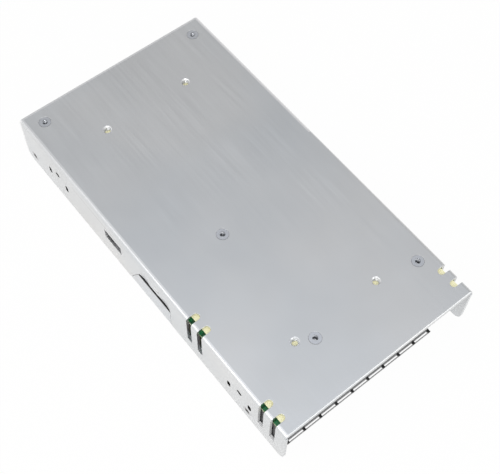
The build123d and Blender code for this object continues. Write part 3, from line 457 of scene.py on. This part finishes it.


# Standoffs
# Nickel plated steel standoffs, pressed into the plate with their heads flush. An M3 thread runs
# through each, and the metal below its head is painted darker with shade.
def grained_finish(name, colour, roughness, swing, grain_size, grain_depth, drift_amount, drift_size):
    finish, nodes, links, surface = new_finish(name)
    drift = place_group(nodes, drift_group, Colour=(*colour, 1), Amount=drift_amount, Size=drift_size)
    links.new(drift.outputs["Colour"], surface.inputs["Base Color"])
    grain = place_group(nodes, grain_group, Size=grain_size, Depth=grain_depth)
    links.new(grain.outputs["Normal"], surface.inputs["Normal"])
    links.new(spread_value(nodes, links, grain.outputs["Mask"], noise_low, noise_high, roughness - swing,
                           roughness + swing), surface.inputs["Roughness"])
    return finish


def plated_finish(name, colour, roughness, grain_size=0.2 * mm, grain_depth=0.003 * mm):
    finish = grained_finish(name, colour, roughness, 0.06, grain_size, grain_depth, 0.04, 3 * mm)
    finish.node_tree.nodes["Principled BSDF"].inputs["Metallic"].default_value = 1.0
    return finish


standoff_nickel = plated_finish("standoff_nickel", (0.67, 0.69, 0.73), 0.30)
# Painted shade: the standoff below its head, and the thread in its bore, are painted darker.
below_head_shade = inside_box(standoff_nickel, ("Z", 0.0, 29.5))
tone_over(standoff_nickel, below_head_shade, (0.30, 0.31, 0.33))
dress(standoff_nickel, "board_standoffs")
standoff_places = ((-47.6, 98.6), (47.6, 98.6), (-16.4, -10.2), (-16.5, -79.3), (47.9, -79.5))
m3_thread = (2.84 * mm, 0.18 * mm, 0.5 * mm)
standoff_thread_z = plate_top - 4.6 * mm
standoff_thread_length = 4.2 * mm
threads = bmesh.new()
for x, y in standoff_places:
    thread_ridge(threads, (x * mm, y * mm, standoff_thread_z), (0, 0, 1), *m3_thread,
                 standoff_thread_length)
add_piece("standoff_threads", threads, standoff_nickel)


# Insulating film
# A sheet of cream polyester film lies between the plate and the board, and shows in the slots of
# the fold. It glows faintly in its own colour, painted light in place of light soaking through it,
# and its face has the faint orange peel of calendered film.
film_cream = grained_finish("film_cream", (0.99, 0.95, 0.64), 0.42, 0.06, 0.6 * mm, 0.004 * mm, 0.01, 12 * mm)
film = film_cream.node_tree.nodes["Principled BSDF"]
# Painted light: the film glows faintly in its own colour.
film_cream.node_tree.links.new(film.inputs["Base Color"].links[0].from_socket, film.inputs["Emission Color"])
film.inputs["Emission Strength"].default_value = 0.2
dress(film_cream, "insulation_sheet")


# Circuit board
# Glass laminate under green solder mask, with lighter copper fields and dark gaps on the side
# towards the plate. There every lead ends in a cone of solder. The cut edge shows the laminate.
board_mask, nodes, links, board = new_finish("board_mask")
place = nodes.new("ShaderNodeTexCoord")
facing = nodes.new("ShaderNodeSeparateXYZ")
links.new(place.outputs["Normal"], facing.inputs[0])
copper = nodes.new("ShaderNodeTexBrick")
copper.offset = 0.37
copper.squash = 1.6
copper.squash_frequency = 3
copper.inputs["Color1"].default_value = (0.012, 0.165, 0.058, 1)
copper.inputs["Color2"].default_value = (0.014, 0.185, 0.070, 1)
copper.inputs["Mortar"].default_value = (0.005, 0.065, 0.026, 1)
copper.inputs["Scale"].default_value = 62.0
copper.inputs["Mortar Size"].default_value = 0.035
copper.inputs["Mortar Smooth"].default_value = 0.2
links.new(place.outputs["Object"], copper.inputs["Vector"])
part_side_green = (0.010, 0.135, 0.050, 1)
solder_side = spread_value(nodes, links, facing.outputs["Z"], -0.1, 0.1, 0.0, 1.0)
greens = mixed(nodes, links, solder_side, part_side_green, copper.outputs["Color"])
drift = place_group(nodes, drift_group, Amount=0.10, Size=7 * mm)
links.new(greens, drift.inputs["Colour"])
links.new(drift.outputs["Colour"], board.inputs["Base Color"])
links.new(spread_value(nodes, links, drift.outputs["Mask"], noise_low, noise_high, 0.22, 0.34),
          board.inputs["Roughness"])
weave = place_group(nodes, grain_group, Size=0.5 * mm, Depth=0.003 * mm)
copper_edge = nodes.new("ShaderNodeBump")
copper_edge.inputs["Distance"].default_value = 0.012 * mm
copper_edge.invert = True
links.new(copper.outputs["Fac"], copper_edge.inputs["Height"])
links.new(weave.outputs["Normal"], copper_edge.inputs["Normal"])
links.new(copper_edge.outputs[0], board.inputs["Normal"])
upright = math_step(nodes, links, "ABSOLUTE", facing.outputs["Z"])
tone_over(board_mask, spread_value(nodes, links, upright, 0.3, 0.6, 1.0, 0.0), (0.30, 0.36, 0.17))
dress(board_mask, "circuit_board")


def evenly(count, pitch):
    return [(i - (count - 1) / 2) * pitch for i in range(count)]


centred = (0.0,)
pin_pitch = 2.54
first_pole_x = 26.8
pole_pitch = 9.6
poles = [(first_pole_x - pole_pitch * i, -92.4) for i in range(9)]
disc_parts = ((-40.0, -78.0), (-7.0, -72.0), (-7.0, -58.0), (-7.0, -44.0))
output_cans = ((9.0, -80.0), (21.5, -80.0), (34.0, -80.0), (9.0, -67.0), (9.0, -54.0))
small_cans = ((44.0, 92.0), (34.0, 94.0), (2.0, 94.0))
bulk_can_pins = ((-24.0, -6.2), (-24.0, 39.8))
control_chip = ((22.0, 44.0),)
optocouplers = ((-2.0, 40.0), (-2.0, 54.0))
load_resistors = ((38.0, 70.0), (30.0, 70.0), (22.0, 70.0))
output_rectifiers = ((49.3, -24.0), (49.3, -4.0), (49.3, 16.0))
power_transistors = ((-49.3, 67.0), (-49.3, 86.0))
bridge_rectifier = ((-50.0, 50.4),)
main_transformer = ((9.0, 5.0),)
driver_transformer = ((-44.5, -4.5),)
line_choke = ((-36.5, -50.0),)
lead_patterns = (
    (poles, centred, centred, 1.7),
    (disc_parts, evenly(2, 7.5), centred, 1.2),
    (output_cans, evenly(2, 5.0), centred, 1.2),
    (small_cans, evenly(2, 2.6), centred, 1.0),
    (bulk_can_pins, evenly(2, 10.0), centred, 1.5),
    (control_chip, evenly(8, pin_pitch), evenly(2, 7.0), 0.9),
    (optocouplers, evenly(2, pin_pitch), evenly(2, 5.2), 0.9),
    (load_resistors, centred, evenly(2, 14.6), 1.1),
    (output_rectifiers, centred, evenly(3, pin_pitch), 1.0),
    (power_transistors, centred, evenly(3, pin_pitch), 1.0),
    (bridge_rectifier, centred, evenly(4, 2 * pin_pitch), 1.2),
    (main_transformer, evenly(2, 28.0), evenly(5, 6.0), 1.2),
    (driver_transformer, evenly(2, 12.0), evenly(2, 10.0), 1.0),
    (line_choke, evenly(2, 15.0), evenly(2, 21.0), 1.2))
solder_points = []
for middles, acrosses, alongs, cone_radius in lead_patterns:
    for middle_x, middle_y in middles:
        for along in alongs:
            solder_points += [(middle_x + across, middle_y + along, cone_radius) for across in acrosses]

board_face = 25.0 * mm
cone_sink = 0.02 * mm
cone_rings = ((0.22, 0.66), (0.30, 0.72), (0.28, 0.80))
solder_tin = plated_finish("solder_tin", (0.76, 0.76, 0.77), 0.24, 0.5 * mm, 0.01 * mm)
solder = bmesh.new()
for x, y, cone_radius in solder_points:
    foot = Matrix.Translation((x * mm, y * mm, board_face - cone_sink))
    ring = bmesh.ops.create_circle(solder, radius=cone_radius * mm, segments=14, matrix=foot)
    edges = list({edge for vert in ring["verts"] for edge in vert.link_edges})
    for rise, shrink in cone_rings:
        grown = bmesh.ops.extrude_edge_only(solder, edges=edges)["geom"]
        top = [part for part in grown if isinstance(part, bmesh.types.BMVert)]
        edges = [part for part in grown if isinstance(part, bmesh.types.BMEdge)]
        bmesh.ops.translate(solder, verts=top, vec=(0, 0, rise * mm))
        bmesh.ops.scale(solder, verts=top, vec=(shrink, shrink, 1),
                        space=Matrix.Translation((-x * mm, -y * mm, 0)))
    bmesh.ops.edgeloop_fill(solder, edges=edges)
bmesh.ops.holes_fill(solder, edges=[edge for edge in solder.edges if edge.is_boundary])
add_piece("solder_cones", solder, solder_tin, sharp_over=50.0)


# Terminal block
# Nine poles moulded in black polyester with glass, between ribs that keep bare wires apart. Its
# ledge carries a painted grey sheen, with a dark tick at each rib. Each pole has a tinned strip, a
# clamp plate and a combination head screw.
def moulded_finish(name, colour, roughness, grain_size=0.12 * mm, grain_depth=0.004 * mm, drift_amount=0.06,
                   drift_size=9 * mm):
    return grained_finish(name, colour, roughness, 0.07, grain_size, grain_depth, drift_amount, drift_size)


block_black = (0.020, 0.020, 0.022)
half_pole_pitch = pole_pitch / 2 * mm
first_rib_x = first_pole_x * mm + half_pole_pitch
tick_half = 0.65 * mm
terminal_black = moulded_finish("terminal_black", block_black, 0.42)
# Painted sheen: the ledge of the black block is painted grey, except for a dark tick at each rib.
ledge_sheen = inside_box(terminal_black, ("Y", -107.4, -104.9), ("Z", 17.2, 18.8))
tone_over(terminal_black, ledge_sheen, (0.30, 0.30, 0.305))
nodes = terminal_black.node_tree.nodes
links = terminal_black.node_tree.links
place = nodes.new("ShaderNodeTexCoord")
split = nodes.new("ShaderNodeSeparateXYZ")
links.new(place.outputs["Object"], split.inputs[0])
from_first_rib = math_step(nodes, links, "SUBTRACT", split.outputs["X"], first_rib_x)
from_nearest_rib = math_step(nodes, links, "PINGPONG", from_first_rib, half_pole_pitch)
at_rib = math_step(nodes, links, "LESS_THAN", from_nearest_rib, tick_half)
ledge_front = inside_box(terminal_black, ("Y", -107.4, -105.7))
tone_over(terminal_black, math_step(nodes, links, "MULTIPLY", at_rib, ledge_front), block_black)
dress(terminal_black, "terminal_block")
contact_tin = plated_finish("contact_tin", (0.78, 0.77, 0.74), 0.28)
dress(contact_tin, "terminal_contacts")
screw_zinc = plated_finish("screw_zinc", (0.70, 0.71, 0.72), 0.27, 0.15 * mm, 0.004 * mm)
dress(screw_zinc, "terminal_clamps", "terminal_screws", "board_screws", "device_screws", "fan_screws")


# Trimmer and lamp
# A blue moulded adjuster with a white dial, and a green lamp beside it. Both stand on the board
# past the last pole.
trimmer_blue = moulded_finish("trimmer_blue", (0.010, 0.050, 0.30), 0.34)
dress(trimmer_blue, "trim_pot_body")
dial_white = moulded_finish("dial_white", (0.78, 0.77, 0.72), 0.40)
dress(dial_white, "trim_pot_rotor")
lamp_green = moulded_finish("lamp_green", (0.05, 0.42, 0.06), 0.14, 0.3 * mm, 0.001 * mm)
lamp_green.node_tree.nodes["Principled BSDF"].inputs["Transmission Weight"].default_value = 0.4
dress(lamp_green, "status_lamp")


# Range selector
# A slide switch behind a window in the left wall. The knob is grey with moulded ridges, and the
# housing round it is black.
selector_black = moulded_finish("selector_black", (0.012, 0.012, 0.013), 0.40)
dress(selector_black, "selector_body")
selector_grey = moulded_finish("selector_grey", (0.22, 0.21, 0.22), 0.46)
dress(selector_grey, "selector_slider")


# Cover
# The lower tray of 1 mm aluminium sheet with hexagonal vents, a pressed guard in front of the
# fan, and a joggled tab that fills the cut-out of the left wall. Painted shade darkens the tab's top
# edge, the ends of the pegs and the screw heads in their recesses.
cover_metal = rolled_sheet("cover_metal", (0.73, 0.74, 0.765), 0.36)
in_left_wall = ("X", -58.0, -56.0)
# Painted shade: the tab's top edge and the ends of the pegs are painted nearly black.
tab_edge_shade = inside_box(cover_metal, in_left_wall, ("Y", -23.0, 4.0), ("Z", 14.3, 17.0))
tone_over(cover_metal, tab_edge_shade, (0.05, 0.05, 0.05))
peg_end_shade = [(in_left_wall, around("Y", y, 12.0), ("Z", 10.0, 17.0)) for y in mount_ys]
tone_over(cover_metal, inside_any(cover_metal, peg_end_shade), (0.02, 0.02, 0.02))
dress(cover_metal, "cover")
cover_screw_zinc = plated_finish("cover_screw_zinc", (0.60, 0.60, 0.61), 0.30, 0.15 * mm, 0.004 * mm)
cover_screw_ys = (-81.0, 99.7)
# Painted shade: the screw heads in their recesses are painted nearly black.
screw_recess_shade = [(around("Y", y, 1.3), around("Z", 6.8, 1.3)) for y in cover_screw_ys]
tone_over(cover_screw_zinc, inside_any(cover_screw_zinc, screw_recess_shade), (0.04, 0.04, 0.04))
dress(cover_screw_zinc, "cover_screws")


# Fan
# A 60 mm fan of black glass-filled plastic with seven blades. Copper coils sit on a laminated
# core under the hub, and a white two-way socket on the board feeds it.
fan_black = moulded_finish("fan_black", (0.018, 0.018, 0.020), 0.44, 0.2 * mm, 0.005 * mm)
dress(fan_black, "fan_frame", "fan_rotor")
coil_copper = plated_finish("coil_copper", (0.62, 0.27, 0.12), 0.26, 0.25 * mm, 0.02 * mm)
dress(coil_copper, "fan_stator")
socket_white = moulded_finish("socket_white", (0.74, 0.72, 0.64), 0.42)
dress(socket_white, "fan_socket")


# Heat bars, pads and power devices
# Extruded aluminium bars carry the heat of the power devices to the walls. Grey silicone pads
# lie on both sides of them, and the devices are black epoxy with tinned leads and tabs.
def tin_where(finish, *boxes):
    bare = inside_any(finish, boxes)
    tone_over(finish, bare, (0.74, 0.74, 0.75))
    finish.node_tree.links.new(bare, finish.node_tree.nodes["Principled BSDF"].inputs["Metallic"])


bar_metal = rolled_sheet("bar_metal", (0.70, 0.71, 0.73), 0.40)
dress(bar_metal, "heat_bars")
pad_grey = moulded_finish("pad_grey", (0.27, 0.29, 0.32), 0.62, 0.3 * mm, 0.01 * mm)
dress(pad_grey, "wall_pads", "device_pads")
device_black = moulded_finish("device_black", (0.022, 0.022, 0.024), 0.50, 0.08 * mm, 0.006 * mm)
dress(device_black, "power_transistors", "output_rectifiers", "bridge_rectifier", "control_chip",
      "optocouplers")
at_right_wall = ("X", 44.0, 56.0)
at_left_wall = ("X", -56.0, -44.0)
device_leads = ("Z", 20.45, 24.0)
device_tabs = ("Z", 4.0, 11.0)
pin_height = ("Z", 19.0, 24.0)
chip_pins = [(("X", 12.0, 32.0), around("Y", y, 4.0), pin_height) for y in (37.1, 50.9)]
opto_pins = [(("X", -6.0, 2.0), around("Y", y, 1.0), pin_height) for y in (36.7, 43.3, 50.7, 57.3)]
tin_where(device_black, (at_right_wall, device_leads), (at_left_wall, device_leads),
          (at_right_wall, ("Y", -32.0, 24.0), device_tabs), (at_left_wall, ("Y", 61.7, 95.0), device_tabs),
          *chip_pins, *opto_pins)


# Transformers
# Ferrite cores on black bobbins. The windings are closed with yellow polyester tape, whose edges
# step a little from lap to lap.
ferrite = moulded_finish("ferrite", (0.045, 0.046, 0.050), 0.55, 0.1 * mm, 0.006 * mm, 0.12, 4 * mm)
dress(ferrite, "main_transformer_core", "driver_transformer_core", "line_choke_core", "output_choke_core")
bobbin_black = moulded_finish("bobbin_black", (0.025, 0.025, 0.027), 0.48)
dress(bobbin_black, "main_transformer_bobbin", "driver_transformer_bobbin", "line_choke_feet")
tape_yellow = moulded_finish("tape_yellow", (0.74, 0.50, 0.03), 0.26, 1.5 * mm, 0.03 * mm, 0.10, 6 * mm)
dress(tape_yellow, "main_transformer_winding", "driver_transformer_winding")


# Chokes
# The output choke is wound with one layer of thick enamelled wire round its ring, with a gap where
# the ends come out. The line choke has a coil of two layers on each leg of its square ring.
winding_wire = plated_finish("winding_wire", (0.60, 0.22, 0.07), 0.22, 0.25 * mm, 0.004 * mm)


def wound_turns(name, runs, wire, replaced):
    wire_data = bpy.data.curves.new(name, "CURVE")
    wire_data.dimensions = "3D"
    wire_data.bevel_depth = wire / 2
    wire_data.bevel_resolution = 2
    wire_data.resolution_u = 3
    wire_data.use_fill_caps = True
    for run in runs:
        spline = wire_data.splines.new("NURBS")
        spline.points.add(len(run) - 1)
        for point, place in zip(spline.points, run):
            point.co = (*place, 1)
        spline.order_u = 3
        spline.use_endpoint_u = True
    wire_data.materials.append(winding_wire)
    piece = bpy.data.objects.new(name, wire_data)
    bpy.context.scene.collection.objects.link(piece)
    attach(piece, "case")
    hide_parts(replaced)


def loop_corners(near, far, half, corner):
    return ((far, half - corner), (far, corner - half), (far - corner, -half), (near + corner, -half),
            (near, corner - half), (near, half - corner), (near + corner, half), (far - corner, half))


wire_end = board_face - 1.6 * mm
thick_wire = 1.5 * mm
ring_gap = 0.15 * mm + thick_wire / 2
ring_inner = 8.0 * mm - ring_gap
ring_outer = 15.0 * mm + ring_gap
ring_half_height = 6.5 * mm + ring_gap
ring_middle = Vector((34.0, -50.0, 15.1)) * mm
ring_bend = 1.4 * mm
ring_corners = loop_corners(ring_inner, ring_outer, ring_half_height, ring_bend)
ring_turns = 25
first_angle = math.radians(-128.0)
whole_angle = math.radians(306.0)
lead_step = (ring_corners[0][0], wire_end - ring_middle.z)
steps = [lead_step, *(ring_corners * ring_turns), lead_step]
ring_run = []
for count, (out, rise) in enumerate(steps):
    angle = first_angle + whole_angle * count / (len(steps) - 1)
    ring_run.append(ring_middle + Vector((out * math.cos(angle), out * math.sin(angle), rise)))
wound_turns("output_choke_wire", [ring_run], thick_wire, "output_choke_winding")

fine_wire = 1.1 * mm
layer_rise = 1.08 * mm
leg_turns = 13
leg_shift = 7.5
leg_height = 16.7
coil_half_wide = 3.2 * mm
coil_half_tall = 4.2 * mm
coil_length = 14.4 * mm
coil_bend = 1.1 * mm
choke_x, choke_y = line_choke[0]
leg_runs = []
for side in (-1, 1):
    leg_middle = Vector((choke_x + side * leg_shift, choke_y, leg_height)) * mm
    lead_rise = wire_end - leg_middle.z
    run = [leg_middle + Vector((coil_half_wide, -coil_length / 2, lead_rise))]
    for layer in (0, 1):
        half_wide = coil_half_wide + layer * layer_rise
        half_tall = coil_half_tall + layer * layer_rise
        corners = loop_corners(-half_wide, half_wide, half_tall, coil_bend)
        for count in range(leg_turns * len(corners)):
            out, rise = corners[count % len(corners)]
            share_done = count / (leg_turns * len(corners))
            along = (share_done - 0.5) * (1 - 2 * layer) * coil_length
            run.append(leg_middle + Vector((out, along, rise)))
    run.append(leg_middle + Vector((coil_half_wide + layer_rise, -coil_length / 2, lead_rise)))
    leg_runs.append(run)
wound_turns("line_choke_wires", leg_runs, fine_wire, "line_choke_windings")


# Fuse, thermistor and small parts
# A glass fuse in plated caps, a dipped thermistor, film and disc capacitors, and lacquered load
# resistors with bands. Every lead is tinned.
fuse_glass, nodes, links, glass = new_finish("fuse_glass")
glass.inputs["Transmission Weight"].default_value = 1.0
glass.inputs["IOR"].default_value = 1.5
drift = place_group(nodes, drift_group, Colour=(0.93, 0.96, 0.95, 1), Amount=0.02, Size=5 * mm)
links.new(drift.outputs["Colour"], glass.inputs["Base Color"])
links.new(spread_value(nodes, links, drift.outputs["Mask"], noise_low, noise_high, 0.02, 0.06),
          glass.inputs["Roughness"])
dress(fuse_glass, "fuse_tube")
dress(contact_tin, "fuse_caps")
part_leads = ("Z", 21.95, 24.0)
thermistor_green = moulded_finish("thermistor_green", (0.015, 0.070, 0.028), 0.5, 0.5 * mm, 0.03 * mm)
tin_where(thermistor_green, (part_leads,))
dress(thermistor_green, "thermistor")
capacitor_yellow = moulded_finish("capacitor_yellow", (0.68, 0.46, 0.04), 0.42)
dress(capacitor_yellow, "line_capacitors")
capacitor_blue = moulded_finish("capacitor_blue", (0.015, 0.09, 0.36), 0.34, 0.7 * mm, 0.02 * mm)
tin_where(capacitor_blue, (part_leads,))
dress(capacitor_blue, "safety_capacitors")
resistor_grey = moulded_finish("resistor_grey", (0.17, 0.21, 0.23), 0.40)
for band_y, colour in ((65.6, (0.10, 0.03, 0.01)), (67.5, (0.01, 0.01, 0.01)), (69.4, (0.30, 0.02, 0.01)),
                       (74.0, (0.45, 0.30, 0.06))):
    tone_over(resistor_grey, inside_box(resistor_grey, around("Y", band_y, 0.45)), colour)
tin_where(resistor_grey, (("Y", 62.0, 63.5),), (("Y", 76.5, 78.0),))
dress(resistor_grey, "load_resistors")


# Cans
# Aluminium capacitor cans in dark shrunk sleeves, the larger ones with a grey stripe. The pins of
# the lying pair are tinned. The top of each can is bare, and pressed into four quarters that give
# way when the can vents.
can_sleeve = moulded_finish("can_sleeve", (0.012, 0.013, 0.022), 0.24, 1.2 * mm, 0.01 * mm)
bulk_stripes = [(("X", -27.0, -21.5), ("Y", -3.9, 82.1), ("Z", 2.0, 9.0))]
output_stripes = [(around("X", x, 1.6), ("Y", y + 2.0, y + 5.2), ("Z", 4.4, 24.0)) for x, y in output_cans]
tone_over(can_sleeve, inside_any(can_sleeve, bulk_stripes + output_stripes), (0.42, 0.43, 0.46))
bulk_width = ("X", -34.0, -14.0)
tin_where(can_sleeve, (bulk_width, ("Y", -8.0, -4.05)), (bulk_width, ("Y", 38.0, 41.95)))
dress(can_sleeve, "bulk_capacitors", "output_capacitors", "small_capacitors")

upright_can = Matrix.Identity(4)
lying_can = Matrix.Rotation(math.radians(90), 4, "X")
output_can_top = 3.4
output_can_radius = 5.0
small_can_top = 12.4
small_can_radius = 3.15
bulk_can_tops = ((-24.0, 36.0, 13.3), (-24.0, 82.0, 13.3))
bulk_can_radius = 10.0
lids = [((x, y, output_can_top), output_can_radius, upright_can) for x, y in output_cans]
lids += [((x, y, small_can_top), small_can_radius, upright_can) for x, y in small_cans]
lids += [(place, bulk_can_radius, lying_can) for place in bulk_can_tops]
lid_share = 0.80
rim_share = 1.06
groove_share = 0.035
lid_proud = 0.03 * mm
quarter_rise = 0.16 * mm
arc_steps = 10
can_metal = plated_finish("can_metal", (0.74, 0.745, 0.75), 0.30, 0.3 * mm, 0.004 * mm)
can_tops = bmesh.new()
for place, can_radius, turn in lids:
    at = Matrix.Translation(Vector(place) * mm) @ turn
    lid_radius = can_radius * lid_share * mm
    groove = can_radius * groove_share * mm
    bmesh.ops.create_circle(can_tops, cap_ends=True, radius=lid_radius * rim_share, segments=48,
                            matrix=at @ Matrix.Translation((0, 0, -lid_proud)))
    start = math.asin(groove / lid_radius)
    arc = [start + (math.pi / 2 - 2 * start) * step / arc_steps for step in range(arc_steps + 1)]
    outline = [(groove, groove)] + [(lid_radius * math.cos(a), lid_radius * math.sin(a)) for a in arc]
    for quarter in range(4):
        turned = at @ Matrix.Rotation(math.radians(90 * quarter), 4, "Z")
        rim = [can_tops.verts.new(turned @ Vector((u, v, -lid_proud))) for u, v in outline]
        raised = bmesh.ops.extrude_face_region(can_tops, geom=[can_tops.faces.new(rim)])["geom"]
        lifted = [part for part in raised if isinstance(part, bmesh.types.BMVert)]
        bmesh.ops.translate(can_tops, verts=lifted, vec=at.to_3x3() @ Vector((0, 0, -quarter_rise)))
add_piece("can_tops", can_tops, can_metal)


# Fuse wire
# A thin tinned wire runs through the glass of the fuse from cap to cap, and bows up a little in
# the middle.
link_start = Vector((-50.5, -84.0, 20.5)) * mm
link_radius = 0.14 * mm
link_steps = 12
link_step = 1.5 * mm
link_bow = 0.5 * mm
fuse_link = bmesh.new()
ring = bmesh.ops.create_circle(fuse_link, radius=link_radius, segments=8,
                               matrix=Matrix.Translation(link_start) @ lying_can)
edges = list({edge for vert in ring["verts"] for edge in vert.link_edges})
bows = [link_bow * math.sin(math.pi * step / link_steps) for step in range(link_steps + 1)]
for low, high in zip(bows, bows[1:]):
    grown = bmesh.ops.extrude_edge_only(fuse_link, edges=edges)["geom"]
    edges = [part for part in grown if isinstance(part, bmesh.types.BMEdge)]
    moved = [part for part in grown if isinstance(part, bmesh.types.BMVert)]
    bmesh.ops.translate(fuse_link, verts=moved, vec=(0, link_step, high - low))
bmesh.ops.holes_fill(fuse_link, edges=[edge for edge in fuse_link.edges if edge.is_boundary])
add_piece("fuse_link", fuse_link, contact_tin)
